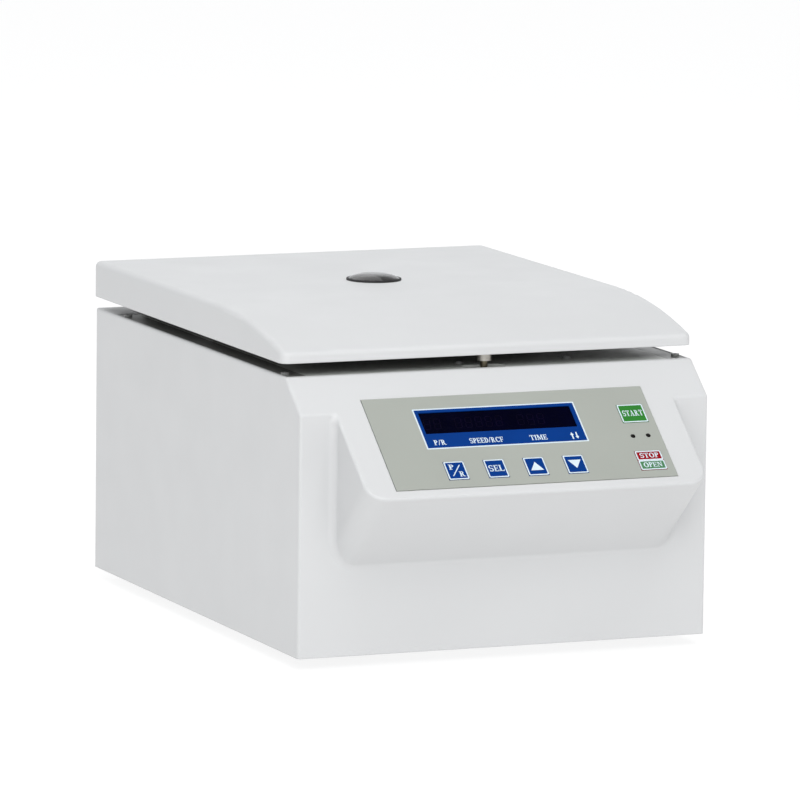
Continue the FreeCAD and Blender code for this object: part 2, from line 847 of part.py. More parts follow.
def make_guard_ring():
    """Steel ring that would catch a broken rotor."""
    outer = upright(guard_inner + guard_wall, 0, chamber_axis_y, guard_bottom, deck_bottom)
    return outer.cut(upright(guard_inner, 0, chamber_axis_y, guard_bottom - 1, deck_bottom + 1))


def make_guard_posts():
    """Four posts between the base plate and the guard ring."""
    reach = guard_inner + guard_wall / 2
    posts = []
    for quarter in range(4):
        angle = math.radians(guard_post_angle + 90 * quarter)
        x = reach * math.cos(angle)
        y = chamber_axis_y + reach * math.sin(angle)
        posts.append(upright(guard_post_radius, x, y, base_top, guard_bottom))
    return posts


# ---- drive ----
def make_motor_housing():
    """Motor can with a bearing seat in its floor."""
    can = upright(motor_radius, 0, chamber_axis_y, motor_bottom, motor_top)
    floor = motor_bottom + motor_wall
    can = can.cut(upright(motor_radius - motor_wall, 0, chamber_axis_y, floor, motor_top + 1))
    seat_top = lower_bearing_bottom + bearing_width
    boss = upright(motor_boss_radius, 0, chamber_axis_y, motor_bottom, seat_top)
    can = can.fuse(boss).removeSplitter()
    cuts = [upright(bearing_radius, 0, chamber_axis_y, lower_bearing_bottom, seat_top + 1)]
    cuts.append(upright(shaft_radius + air_gap, 0, chamber_axis_y, motor_bottom + motor_wall, seat_top))
    cuts += [screw_hole(large_screw, x, y, motor_plate_bottom, up) for x, y in motor_screw_places]
    return cut_all(can, cuts)


def make_motor_cover():
    """Upper end shield of the motor."""
    cover = upright(motor_radius, 0, chamber_axis_y, motor_top, motor_cover_top)
    spigot_radius = motor_radius - motor_wall - running_clearance
    spigot = upright(spigot_radius, 0, chamber_axis_y, motor_top - motor_cover_spigot, motor_top)
    boss = upright(motor_boss_radius, 0, chamber_axis_y, motor_top, motor_boss_top)
    cover = join([cover, spigot, boss])
    cuts = [upright(bearing_radius, 0, chamber_axis_y, upper_bearing_bottom, motor_boss_top + 1)]
    cuts.append(upright(shaft_radius + air_gap, 0, chamber_axis_y, motor_bottom, motor_boss_top))
    return cut_all(cover, cuts)


def make_motor_bearings():
    """Two ball bearings of the shaft, each drawn as races with the filled cage between them."""
    bearings = []
    for low in (lower_bearing_bottom, upper_bearing_bottom):
        high = low + bearing_width
        inner = shaft_radius + running_clearance
        race = inner + bearing_race
        outer = bearing_radius - bearing_race
        groove = bearing_width / 8
        outline = [
            (inner, low),
            (race, low),
            (race, low + groove),
            (outer, low + groove),
            (outer, low),
            (bearing_radius, low),
            (bearing_radius, high),
            (outer, high),
            (outer, high - groove),
            (race, high - groove),
            (race, high),
            (inner, high),
        ]
        bearings.append(turned(outline))
    return bearings


def make_motor_plate():
    """Plate on the rubber mounts that carries the motor."""
    low = motor_plate_bottom
    near_side = chamber_axis_y - motor_plate_half
    far_side = chamber_axis_y + motor_plate_half
    plate = block(-motor_plate_half, motor_plate_half, near_side, far_side, low, motor_bottom)
    cuts = [screw_hole(large_screw, x, y, motor_bottom, down) for x, y in mount_places]
    cuts += [screw_hole(large_screw, x, y, low, up) for x, y in motor_screw_places]
    return cut_all(plate, cuts)


def make_rubber_mounts():
    """Four vibration mounts between the base and the motor plate."""
    mounts = []
    for x, y in mount_places:
        mount = upright(motor_mount_radius, x, y, base_top, motor_plate_bottom)
        mounts.append(mount.cut(screw_hole(large_screw, x, y, motor_bottom, down)))
    return mounts


def slot_bars(width, inner, reach, low, high):
    """Radial bars for the stator's slots."""
    bars = []
    for index in range(stator_slots):
        bar = block(inner, inner + reach, -width / 2, width / 2, low, high)
        bar.rotate(Vector(0, 0, 0), up, index * 360 / stator_slots)
        bar.translate(Vector(0, chamber_axis_y, 0))
        bars.append(bar)
    return bars


def make_stator_core():
    """Slotted iron core fixed in the motor can."""
    high = stator_bottom + stator_height
    core = upright(stator_radius, 0, chamber_axis_y, stator_bottom, high)
    core = core.cut(upright(stator_bore, 0, chamber_axis_y, stator_bottom - 1, high + 1))
    reach = stator_slot_reach + air_gap
    bars = slot_bars(stator_slot_width, stator_bore - air_gap, reach, stator_bottom - 1, high + 1)
    return cut_all(core, bars)


def make_stator_windings():
    """Copper coils lying in the slots and looped over both ends of the core."""
    high = stator_bottom + stator_height
    inner = stator_bore + 2 * winding_clearance
    outer = stator_bore + stator_slot_reach - winding_clearance
    parts = []
    for low, top in ((stator_bottom - winding_overhang, stator_bottom), (high, high + winding_overhang)):
        loop = upright(outer, 0, chamber_axis_y, low, top)
        parts.append(loop.cut(upright(inner, 0, chamber_axis_y, low - 1, top + 1)))
    width = stator_slot_width - 2 * winding_clearance
    start = inner + winding_clearance
    parts += slot_bars(width, start, outer - start - winding_clearance, stator_bottom - 1, high + 1)
    return join(parts)


def make_drive_boot():
    """Rubber boot that closes the bowl's hole round the shaft."""
    inner = motor_boss_radius + running_clearance
    outer = inner + boot_wall
    lip = bowl_hole_radius + boot_flange_width
    shaft_hole = shaft_radius + boot_shaft_gap
    top = bowl_floor + boot_flange_height
    outline = [
        (inner, motor_cover_top),
        (outer, motor_cover_top),
        (outer, bowl_underside - boot_flange_height),
        (lip, bowl_underside - boot_flange_height),
        (lip, bowl_underside),
        (bowl_hole_radius, bowl_underside),
        (bowl_hole_radius, bowl_floor),
        (lip, bowl_floor),
        (lip, top),
        (shaft_hole, top),
        (shaft_hole, bowl_floor),
        (inner, bowl_floor),
    ]
    return turned(outline)


def make_motor_shaft():
    """Drive shaft from the lower bearing up into the rotor, with the collar the rotor sits on."""
    shaft_top = bolt_head_bottom - shaft_end_gap
    shaft = upright(shaft_radius, 0, chamber_axis_y, lower_bearing_bottom, shaft_top)
    collar = upright(shaft_collar_radius, 0, chamber_axis_y, rotor_bottom - shaft_collar_height, rotor_bottom)
    shaft = shaft.fuse(collar).removeSplitter()
    thread_bottom = bolt_head_bottom - bolt_shank_length - shaft_end_gap
    return shaft.cut(upright(stud_radius, 0, chamber_axis_y, thread_bottom, shaft_top + 1))


def make_motor_rotor():
    """Magnet core of the motor on the shaft."""
    high = stator_bottom + stator_height
    core = upright(stator_bore - air_gap, 0, chamber_axis_y, stator_bottom, high)
    return core.cut(upright(shaft_radius, 0, chamber_axis_y, stator_bottom - 1, high + 1))


# ---- angle rotor ----
def make_angle_rotor():
    """Turned aluminium rotor with slanted holes for the tubes."""
    bore = shaft_radius + running_clearance
    outline = [
        (bore, 0),
        (rotor_base_radius, 0),
        (rotor_radius, rotor_chamfer),
        (rotor_radius, rotor_height - rotor_edge),
        (rotor_radius - rotor_edge, rotor_height),
        (rotor_rim_inner, rotor_height),
        (rotor_dish_inner, rotor_floor_height),
        (rotor_hub_radius, rotor_floor_height),
        (rotor_hub_radius, rotor_hub_height),
        (bore, rotor_hub_height),
    ]
    rotor = turned([(radius, rotor_bottom + height) for radius, height in outline])
    return cut_all(rotor, tube_holes())


def tube_holes():
    """Slanted holes round the rotor, leaning outwards as they go down."""
    lean = math.radians(tube_angle)
    mouth = rotor_floor_height + tube_mouth_radius - rotor_dish_inner
    holes = []
    for index in range(tube_count):
        turn = 2 * math.pi * index / tube_count
        outwards = Vector(math.cos(turn), math.sin(turn), 0)
        along = outwards * math.sin(lean) + down * math.cos(lean)
        start = Vector(0, chamber_axis_y, rotor_bottom + mouth) + outwards * tube_mouth_radius
        hole = Part.makeCylinder(tube_radius, tube_depth, start, along)
        mouth_cut = Part.makeCylinder(tube_radius, tube_radius * 2, start - along * tube_radius * 2, along)
        holes.append(hole.fuse(mouth_cut).removeSplitter())
    return holes


def hexagon(across_flats, x, y, z0, z1):
    """Upright hexagonal prism."""
    reach = across_flats / math.sqrt(3)
    corners = []
    for index in range(7):
        angle = math.radians(60 * index)
        corners.append(Vector(x + reach * math.cos(angle), y + reach * math.sin(angle), z0))
    return Part.Face(Part.makePolygon(corners)).extrude(Vector(0, 0, z1 - z0))


def make_rotor_bolt():
    """Bolt that holds the rotor on the shaft, with the stud for the rotor lid's knob above."""
    head = hexagon(2 * bolt_head_radius, 0, chamber_axis_y, bolt_head_bottom, bolt_head_top)
    shank_radius = stud_radius - running_clearance
    shank = upright(shank_radius, 0, chamber_axis_y, bolt_head_bottom - bolt_shank_length, bolt_head_bottom)
    stud = upright(stud_radius, 0, chamber_axis_y, bolt_head_top, bolt_head_top + stud_length)
    return join([head, shank, stud])


def make_rotor_lid():
    """Flat lid over the rotor's tube wells, with a groove for its seal."""
    hole = knob_neck_radius + running_clearance
    groove_top = rotor_lid_bottom + rotor_seal_depth
    outline = [
        (hole, rotor_lid_bottom),
        (rotor_seal_radius - rotor_seal_width / 2, rotor_lid_bottom),
        (rotor_seal_radius - rotor_seal_width / 2, groove_top),
        (rotor_seal_radius + rotor_seal_width / 2, groove_top),
        (rotor_seal_radius + rotor_seal_width / 2, rotor_lid_bottom),
        (rotor_lid_radius, rotor_lid_bottom),
        (rotor_lid_radius, rotor_lid_top - knob_edge),
        (rotor_lid_radius - knob_edge, rotor_lid_top),
        (hole, rotor_lid_top),
    ]
    return turned(outline)


def make_rotor_lid_seal():
    """Rubber ring in the rotor lid's groove."""
    inner = rotor_seal_radius - rotor_seal_width / 2
    outer = inner + rotor_seal_width
    low = rotor_top + rotor_seal_gap
    high = rotor_lid_bottom + rotor_seal_depth
    return turned([(inner, low), (outer, low), (outer, high), (inner, high)])


def make_rotor_knob():
    """Grip that screws the rotor lid down on the stud."""
    knob = upright(knob_radius, 0, chamber_axis_y, knob_bottom, knob_top)
    rim = edges_where(knob, lambda p: near(p.z, knob_top))
    knob = knob.makeFillet(knob_edge, rim)
    neck = upright(knob_neck_radius, 0, chamber_axis_y, clip_bottom, knob_bottom)
    knob = knob.fuse(neck).removeSplitter()
    cuts = []
    for index in range(knob_grips):
        angle = 2 * math.pi * index / knob_grips
        reach = knob_radius + knob_grip_radius / 2
        x = reach * math.cos(angle)
        y = chamber_axis_y + reach * math.sin(angle)
        cuts.append(upright(knob_grip_radius, x, y, knob_bottom - 1, knob_top + 1))
    bore_top = bolt_head_top + stud_length + shaft_end_gap
    cuts.append(upright(stud_radius + running_clearance, 0, chamber_axis_y, clip_bottom - 1, bore_top))
    return cut_all(knob, cuts)


def make_knob_clip():
    """Retaining ring that keeps the knob in the rotor lid."""
    ring = upright(clip_radius, 0, chamber_axis_y, clip_bottom, clip_top)
    return ring.cut(upright(knob_neck_radius, 0, chamber_axis_y, clip_bottom - 1, clip_top + 1))


# ---- lid hinges ----
knuckle_width = (hinge_width - 2 * hinge_knuckle_gap) / 3
hinge_leaf_rear = hinge_leaf_end - hinge_knuckle_gap


def knuckle(x, anchor_z):
    """One barrel of a hinge with the web that ties it to its leaf."""
    x0 = x - knuckle_width / 2
    x1 = x + knuckle_width / 2
    barrel = along_x(hinge_barrel_radius, hinge_axis_y, hinge_axis_z, x0, x1)
    low, high = sorted((anchor_z, hinge_axis_z))
    web = block(x0, x1, hinge_leaf_rear - 1, hinge_axis_y, low, high)
    return barrel.fuse(web)


def hinge_half(centre, offsets, anchor_z, leaf_low):
    """Leaf of one hinge with its knuckles, drilled for the pin."""
    half = hinge_width / 2
    front = hinge_leaf_end - hinge_leaf_length
    leaf_high = leaf_low + hinge_leaf_thickness
    parts = [block(centre - half, centre + half, front, hinge_leaf_rear, leaf_low, leaf_high)]
    for offset in offsets:
        parts.append(knuckle(centre + offset * (knuckle_width + hinge_knuckle_gap), anchor_z))
    drill = hinge_pin_radius + running_clearance
    half_leaf = join(parts)
    return half_leaf.cut(along_x(drill, hinge_axis_y, hinge_axis_z, centre - half - 1, centre + half + 1))


def make_hinge_bases():
    """Casing halves of the two hinges, one knuckle each."""
    leaf_top = casing_top + hinge_leaf_thickness
    holes = [screw_hole(small_screw, x, hinge_screw_y, leaf_top, down) for x in hinge_screw_x]
    return [cut_all(hinge_half(centre, [0], casing_top, casing_top), holes) for centre in hinge_centres]


def make_hinge_pins():
    """Steel pins of the two hinges."""
    half = hinge_width / 2
    return [along_x(hinge_pin_radius, hinge_axis_y, hinge_axis_z, c - half, c + half) for c in hinge_centres]


def make_hinge_leaves():
    """Lid halves of the two hinges, two knuckles each."""
    leaf_low = liner_bottom - hinge_leaf_thickness
    holes = [screw_hole(small_screw, x, hinge_screw_y, leaf_low, up) for x in hinge_screw_x]
    return [cut_all(hinge_half(centre, [-1, 1], liner_bottom, leaf_low), holes) for centre in hinge_centres]


# ---- lid ----
def lid_form(inset, bottom):
    """Lid body: level top that curves down to a low front edge, inset all round."""
    front = lid_front_setback + inset
    rear = lid_rear - inset
    top = lid_top - inset
    curve_start = lid_front_setback + lid_curve_length
    radius = lid_curve_radius - inset
    centre_z = lid_top - lid_curve_radius
    half = lid_half - inset

    def on_curve(y):
        """Point of the front curve at a given depth."""
        return Vector(-half, y, centre_z + math.sqrt(radius ** 2 - (curve_start - y) ** 2))

    front_bottom = Vector(-half, front, bottom)
    rear_bottom = Vector(-half, rear, bottom)
    rear_top = Vector(-half, rear, top)
    curve_top = Vector(-half, curve_start, top)
    curve = Part.Arc(curve_top, on_curve((curve_start + front) / 2), on_curve(front))
    sides = [
        Part.makeLine(front_bottom, rear_bottom),
        Part.makeLine(rear_bottom, rear_top),
        Part.makeLine(rear_top, curve_top),
        curve.toShape(),
        Part.makeLine(on_curve(front), front_bottom),
    ]
    return Part.Face(Part.Wire(sides)).extrude(Vector(2 * half, 0, 0))


def lid_skin():
    """Outer form of the lid with rounded corners and edges."""
    form = lid_form(0, lid_bottom)
    for y, radius in ((lid_rear, lid_rear_corner), (lid_front_setback, lid_front_corner)):
        corners = edges_where(form, lambda p: near(abs(p.x), lid_half) and near(p.y, y))
        form = form.makeFillet(radius, corners)
    return form.makeFillet(lid_edge, [edge for edge in form.Edges if is_rim(edge)])


def is_rim(edge):
    """True for an edge round the lid's top, and not for its bottom, corners or the line of its bend."""
    middle = edge.valueAt((edge.FirstParameter + edge.LastParameter) / 2)
    start = edge.valueAt(edge.FirstParameter)
    end = edge.valueAt(edge.LastParameter)
    bottom = near(middle.z, lid_bottom)
    standing = near(start.x, end.x) and near(start.y, end.y)
    bend_line = near(middle.x, 0) and lid_front_setback + lid_edge < middle.y < lid_rear - lid_edge
    return not (bottom or standing or bend_line)


def window_hole(radius):
    """Upright hole for the window through the whole lid."""
    return upright(radius, 0, chamber_axis_y, lid_bottom - 1, lid_top + 1)


def make_lid_shell():
    """Outer lid cover with the bosses that take the liner's screws."""
    skin = lid_skin()
    shell = skin.cut(lid_form(lid_wall, lid_bottom - 2 * lid_wall))
    bosses = [upright(lid_boss_radius, x, y, liner_top, lid_top).common(skin) for x, y in liner_screw_places]
    shell = join([shell] + bosses)
    cuts = [window_hole(window_radius + running_clearance)]
    cuts += [screw_hole(small_screw, x, y, liner_bottom, up) for x, y in liner_screw_places]
    return cut_all(shell, cuts)


def make_lid_liner():
    """Dark inner cover that closes the lid from below."""
    inset = lid_wall + panel_clearance
    half = lid_half - inset
    liner = block(-half, half, lid_front_setback + inset, lid_rear - inset, liner_bottom, liner_top)
    cuts = [window_hole(window_radius + running_clearance)]
    cuts.append(upright(striker_radius + running_clearance, 0, striker_y, liner_bottom - 1, liner_top + 1))
    leaf_low = liner_bottom - hinge_leaf_thickness
    cuts += [screw_hole(small_screw, x, y, liner_bottom, up) for x, y in liner_screw_places]
    cuts += [screw_hole(small_screw, x, hinge_screw_y, leaf_low, up) for x in hinge_screw_x]
    return cut_all(liner, cuts)


def make_lid_plate():
    """Steel plate above the liner that ties the hinges, the striker and the window together."""
    half = lid_half - lid_plate_margin
    front = striker_y + 2 * striker_collar_radius
    rear = lid_rear - lid_plate_margin
    plate = block(-half, half, front, rear, liner_top, lid_plate_top)
    tongue_half = 3 * striker_collar_radius
    tip = striker_y - striker_collar_radius
    tongue = block(-tongue_half, tongue_half, tip, front, liner_top, lid_plate_top)
    plate = plate.fuse(tongue).removeSplitter()
    cuts = [window_hole(window_radius + running_clearance)]
    cuts.append(upright(striker_radius + running_clearance, 0, striker_y, liner_top - 1, lid_plate_top + 1))
    leaf_low = liner_bottom - hinge_leaf_thickness
    cuts += [screw_hole(small_screw, x, hinge_screw_y, leaf_low, up) for x in hinge_screw_x]
    return cut_all(plate, cuts)


def make_window_grommet():
    """Black tube with a rim that frames the window through the lid."""
    inner = window_radius - window_tube_wall
    outline = [
        (inner, liner_bottom),
        (window_radius, liner_bottom),
        (window_radius, lid_top),
        (window_radius + window_rim_width, lid_top),
        (window_radius + window_rim_width, lid_top + window_rim_height),
        (inner, lid_top + window_rim_height),
    ]
    return turned(outline)


def make_viewing_window():
    """Domed smoked window on the grommet's rim."""
    edge = window_radius + window_rim_width / 2
    low = lid_top + window_rim_height
    sphere_radius = (edge ** 2 + window_rise ** 2) / (2 * window_rise)
    centre = Vector(0, chamber_axis_y, low + window_rise - sphere_radius)
    dome = Part.makeSphere(sphere_radius, centre)
    dome = dome.cut(Part.makeSphere(sphere_radius - window_thickness, centre))
    return dome.common(upright(edge + 1, 0, chamber_axis_y, low, low + window_rise + 1))


def make_lid_screws():
    """Small screws of the liner and of the lid's hinge leaves."""
    leaf_low = liner_bottom - hinge_leaf_thickness
    screws = [screw(small_screw, x, y, liner_bottom, up) for x, y in liner_screw_places]
    screws += [screw(small_screw, x, hinge_screw_y, leaf_low, up) for x in hinge_screw_x]
    return screws


def make_lid_striker():
    """Pin that hangs from the lid into the lock, riveted to the lid's plate."""
    collar_low = liner_bottom - striker_collar_height
    outline = [
        (0, striker_foot),
        (striker_head_radius - striker_tip, striker_foot),
        (striker_head_radius, striker_foot + striker_tip),
        (striker_head_radius, striker_head_top),
        (striker_radius, striker_head_top),
        (striker_radius, collar_low),
        (striker_collar_radius, collar_low),
        (striker_collar_radius, liner_bottom),
        (striker_radius, liner_bottom),
        (striker_radius, lid_plate_top),
        (striker_rivet_radius, lid_plate_top),
        (striker_rivet_radius, lid_plate_top + striker_rivet_height),
        (0, lid_plate_top + striker_rivet_height),
    ]
    return turned(outline, 0, striker_y)


# ---- lid lock ----
def make_lock_bracket():
    """Channel under the deck that guides the lock slide and carries the solenoid."""
    inner = bracket_inner_half
    outer = inner + bracket_wall
    flange = outer + bracket_flange_width
    floor_top = bracket_floor + bracket_wall
    rail = inner - bracket_rail_width
    low_rail = lock_plate_low - panel_clearance
    high_rail = lock_plate_high + panel_clearance
    parts = [block(bracket_start, bracket_end, striker_y - outer, striker_y + outer, bracket_floor, floor_top)]
    for side in (-1, 1):
        y0, y1 = sorted((striker_y + side * inner, striker_y + side * outer))
        parts.append(block(bracket_start, bracket_end, y0, y1, bracket_floor, deck_bottom))
        y0, y1 = sorted((striker_y + side * rail, striker_y + side * outer))
        parts.append(block(bracket_start, solenoid_start, y0, y1, low_rail - bracket_rail_height, low_rail))
        parts.append(block(bracket_start, solenoid_start, y0, y1, high_rail, high_rail + bracket_rail_height))
    y0 = striker_y + inner
    y1 = striker_y + flange
    parts.append(block(bracket_start, bracket_end, y0, y1, deck_bottom - bracket_wall, deck_bottom))
    channel = join(parts)
    cuts = [screw_hole(small_screw, x, y, deck_top, down) for x, y in bracket_screw_places]
    hole_radius = striker_head_radius + lock_release_gap
    cuts.append(upright(hole_radius, 0, striker_y, bracket_floor - 1, floor_top + 1))
    return cut_all(channel, cuts)


def make_lock_slide():
    """Forked plate that slides round the pin above its head, with a tab for the plunger."""
    half = lock_plate_half_width
    x0 = lock_plate_start
    x1 = lock_plate_end
    plate = block(x0, x1, striker_y - half, striker_y + half, lock_plate_low, lock_plate_high)
    tab_half = lock_tab_half_width
    tab_low = lock_plate_low - lock_tab_height / 2
    tab_high = lock_plate_high + lock_tab_height
    tab = block(x1 - bracket_wall, x1, striker_y - tab_half, striker_y + tab_half, tab_low, tab_high)
    slot_half = striker_radius + lock_slot_clearance
    end = x0 + lock_slot_depth
    low = lock_plate_low - 1
    high = lock_plate_high + 1
    slot = block(x0 - 1, end, striker_y - slot_half, striker_y + slot_half, low, high)
    slot = slot.fuse(upright(slot_half, end, striker_y, low, high))
    return plate.fuse(tab).removeSplitter().cut(slot)


def make_lock_plunger():
    """Iron plunger that pushes the lock slide."""
    end = solenoid_start + plunger_insertion
    return along_x(plunger_radius, striker_y, lock_plate_middle, lock_plate_end, end)


def make_lock_solenoid():
    """Solenoid standing in the bracket, bored for the plunger."""
    half = lock_plate_half_width
    low = bracket_floor + bracket_wall
    high = deck_bottom - solenoid_top_gap
    end = solenoid_start + solenoid_length
    coil = block(solenoid_start, end, striker_y - half, striker_y + half, low, high)
    bore_end = solenoid_start + plunger_insertion + plunger_radius
    bore_radius = plunger_radius + running_clearance
    bore = along_x(bore_radius, striker_y, lock_plate_middle, solenoid_start - 1, bore_end)
    return coil.cut(bore)


def make_lock_sensor():
    """Sensor on the bracket's floor that sees the lock slide above it."""
    low = bracket_floor + bracket_wall
    high = lock_plate_low - lock_sensor_gap
    half = lock_sensor_half_width
    start = lock_sensor_end - lock_sensor_length
    return block(start, lock_sensor_end, striker_y - half, striker_y + half, low, high)


# ---- console face ----
def make_keypad_overlay():
    """Plastic facing of the console with openings for the display, keys and lamps."""
    gap = 2 * panel_clearance
    width = overlay_width - gap
    length = overlay_length - gap
    sheet = pad(0, overlay_drop + overlay_length / 2, width, length, overlay_floor, overlay_rise)
    cuts = [pad(display_x, display_drop, display_width + gap, display_length + gap, overlay_floor - 1, 1)]
    for x, drop, width, length in key_layout.values():
        width += 2 * key_clearance
        length += 2 * key_clearance
        cuts.append(pad(x, drop, width, length, overlay_floor - 1, 1))
    for x, drop in lamp_places:
        cuts.append(upright(lamp_radius + panel_clearance, x, -drop, overlay_floor - 1, 1))
    return console(cut_all(sheet, cuts))


def make_display_window():
    """Smoked window over the display, resting on the display module."""
    window = pad(display_x, display_drop, display_width, display_length, display_module_top, -display_recess)
    return console(window)


def make_display_module():
    """Display block between the control board and the window."""
    width = display_width + 2 * display_module_margin
    length = display_length + 2 * display_module_margin
    return console(pad(display_x, display_drop, width, length, board_top, display_module_top))


def make_key(x, drop, width, length):
    """Key cap with the flange that keeps it under the panel and the stem over its switch."""
    flange_top = -casing_wall - key_clearance
    flange_bottom = flange_top - key_flange_thickness
    cap = pad(x, drop, width, length, flange_bottom, key_rise)
    flange = pad(x, drop, width + 2 * key_flange, length + 2 * key_flange, flange_bottom, flange_top)
    stem = upright(key_stem_radius, x, -drop, flange_bottom - key_stem_length, flange_bottom)
    return console(join([cap, flange, stem]))


def make_key_switches():
    """One small push switch on the control board under each key."""
    stem_end = -casing_wall - key_clearance - key_flange_thickness - key_stem_length
    top = stem_end - key_travel - key_switch_gap
    size = key_switch_size
    pads = [pad(x, drop, size, size, board_top, top) for x, drop, width, length in key_layout.values()]
    return [console(block_shape) for block_shape in pads]


def make_indicator_lamps():
    """Two small lamps standing on the control board."""
    return [console(upright(lamp_radius, x, -drop, board_top, lamp_rise)) for x, drop in lamp_places]


def make_control_board():
    """Circuit board behind the console's face."""
    board = pad(0, board_middle_drop, board_width, board_length, board_top - board_thickness, board_top)
    return console(board)


def make_board_posts():
    """Posts that hang the control board from the console's face."""
    posts = [upright(board_post_radius, x, -drop, board_top, -casing_wall) for x, drop in board_post_places]
    return [console(post) for post in posts]


# ---- rear electrics ----
def make_power_inlet():
    """Mains inlet: flange outside the rear panel and an open socket behind it."""
    face = rear_panel_back + inlet_flange_thickness
    deep = rear_panel_back - inlet_body_depth
    half_width = inlet_flange_width / 2
    half_height = inlet_flange_height / 2
    flange = block(
        inlet_x - half_width,
        inlet_x + half_width,
        rear_panel_back,
        face,
        inlet_z - half_height,
        inlet_z + half_height,
    )
    half_width = inlet_body_width / 2
    half_height = inlet_body_height / 2
    body = block(
        inlet_x - half_width,
        inlet_x + half_width,
        deep,
        rear_panel_back,
        inlet_z - half_height,
        inlet_z + half_height,
    )
    half_width -= inlet_wall
    half_height -= inlet_wall
    socket = block(
        inlet_x - half_width,
        inlet_x + half_width,
        deep + inlet_wall,
        face + 1,
        inlet_z - half_height,
        inlet_z + half_height,
    )
    cuts = [socket] + inlet_pin_shapes(0)
    cuts += [screw_hole(small_screw, x, face, inlet_z, forwards) for x in inlet_screw_x]
    return cut_all(flange.fuse(body).removeSplitter(), cuts)


def inlet_pin_shapes(gap):
    """The three flat pins of the inlet, passing through the socket's floor."""
    start = rear_panel_back - inlet_body_depth - 2 * inlet_wall
    end = rear_panel_back - inlet_body_depth + inlet_wall + inlet_pin_length
    pins = []
    side = inlet_pin_spacing
    drop = inlet_pin_drop
    for x, z in ((-side, -drop), (0, drop), (side, -drop)):
        x0 = inlet_x + x - inlet_pin_width / 2 + gap
        x1 = inlet_x + x + inlet_pin_width / 2 - gap
        z0 = inlet_z + z - inlet_pin_height / 2 + gap
        z1 = inlet_z + z + inlet_pin_height / 2 - gap
        pins.append(block(x0, x1, start, end, z0, z1))
    return pins


def make_switch_frame():
    """Frame of the power switch, open to the rear, with bearings for the rocker."""
    face = rear_panel_back + switch_flange_thickness
    deep = rear_panel_back - switch_depth
    half_width = switch_width / 2
    half_height = switch_height / 2
    frame = block(
        switch_x - half_width,
        switch_x + half_width,
        deep,
        face,
        switch_z - half_height,
        switch_z + half_height,
    )
    flange = block(
        switch_x - half_width - switch_flange,
        switch_x + half_width + switch_flange,
        rear_panel_back,
        face,
        switch_z - half_height - switch_flange,
        switch_z + half_height + switch_flange,
    )
    half_width -= switch_wall
    half_height -= switch_wall
    well = block(
        switch_x - half_width,
        switch_x + half_width,
        deep + switch_wall,
        face + 1,
        switch_z - half_height,
        switch_z + half_height,
    )
    pivot = along_x(
        rocker_pivot_radius + running_clearance,
        rocker_pivot_y,
        switch_z,
        switch_x - half_width - switch_wall / 2,
        switch_x + half_width + switch_wall / 2,
    )
    return frame.fuse(flange).removeSplitter().cut(well).cut(pivot)


def make_power_rocker():
    """Rocker of the power switch, resting tilted in its off position."""
    half_height = switch_height / 2 - switch_wall - 2 * rocker_clearance
    half_width = switch_width / 2 - switch_wall - rocker_clearance
    crown = rocker_pivot_depth + rocker_clearance
    outline = [
        (-rocker_pivot_depth - 1, -half_height + rocker_pivot_radius),
        (rocker_pivot_depth / 2, -half_height),
        (crown, 0),
        (rocker_pivot_depth / 2, half_height),
        (-rocker_pivot_depth - 1, half_height - rocker_pivot_radius),
    ]
    outline = [(rocker_pivot_y + y, switch_z + z) for y, z in outline]
    rocker = prism_x(outline, switch_x - half_width, switch_x + half_width)
    reach = half_width + rocker_clearance + switch_wall / 2 - running_clearance
    pin = along_x(rocker_pivot_radius, rocker_pivot_y, switch_z, switch_x - reach, switch_x + reach)
    rocker = rocker.fuse(pin).removeSplitter()
    rocker.rotate(Vector(switch_x, rocker_pivot_y, switch_z), Vector(1, 0, 0), rocker_tilt)
    return rocker


def make_driver_board():
    """Motor driver board on posts, with its capacitors and finned heat sink."""
    low = base_top + driver_post_height
    high = low + board_thickness
    rear = driver_front + driver_length
    parts = [block(-driver_width / 2, driver_width / 2, driver_front, rear, low, high)]
    inset = 2 * driver_post_radius
    for x, y in corner_places(driver_width / 2 - inset, driver_front + inset, rear - inset):
        parts.append(upright(driver_post_radius, x, y, base_top, low))
    middle = driver_front + driver_length / 2
    first = -driver_width / 2 + 2 * capacitor_radius
    for index in range(capacitor_count):
        x = first + index * capacitor_pitch
        parts.append(upright(capacitor_radius, x, middle, high, high + capacitor_height))
    right = driver_width / 2 - inset
    left = right - heat_sink_width
    back = middle + heat_sink_depth
    parts.append(block(left, right, middle, middle + board_thickness * 2, high, high + heat_sink_height))
    pitch = (heat_sink_width - board_thickness) / (heat_sink_fins - 1)
    for index in range(heat_sink_fins):
        x = left + index * pitch
        parts.append(block(x, x + board_thickness, middle, back, high, high + heat_sink_height))
    return join(parts)


# ---- writing the pieces ----
def save(name, pieces):
    """Move a piece, or a group of like pieces, to the part's origin and write it."""
    shape = pieces if isinstance(pieces, Part.Shape) else Part.Compound(pieces)
    shape = shape.copy()
    shape.translate(Vector(0, (console_reach - lid_rear) / 2, 0))
    shape.exportStep("parts/" + name + ".step")


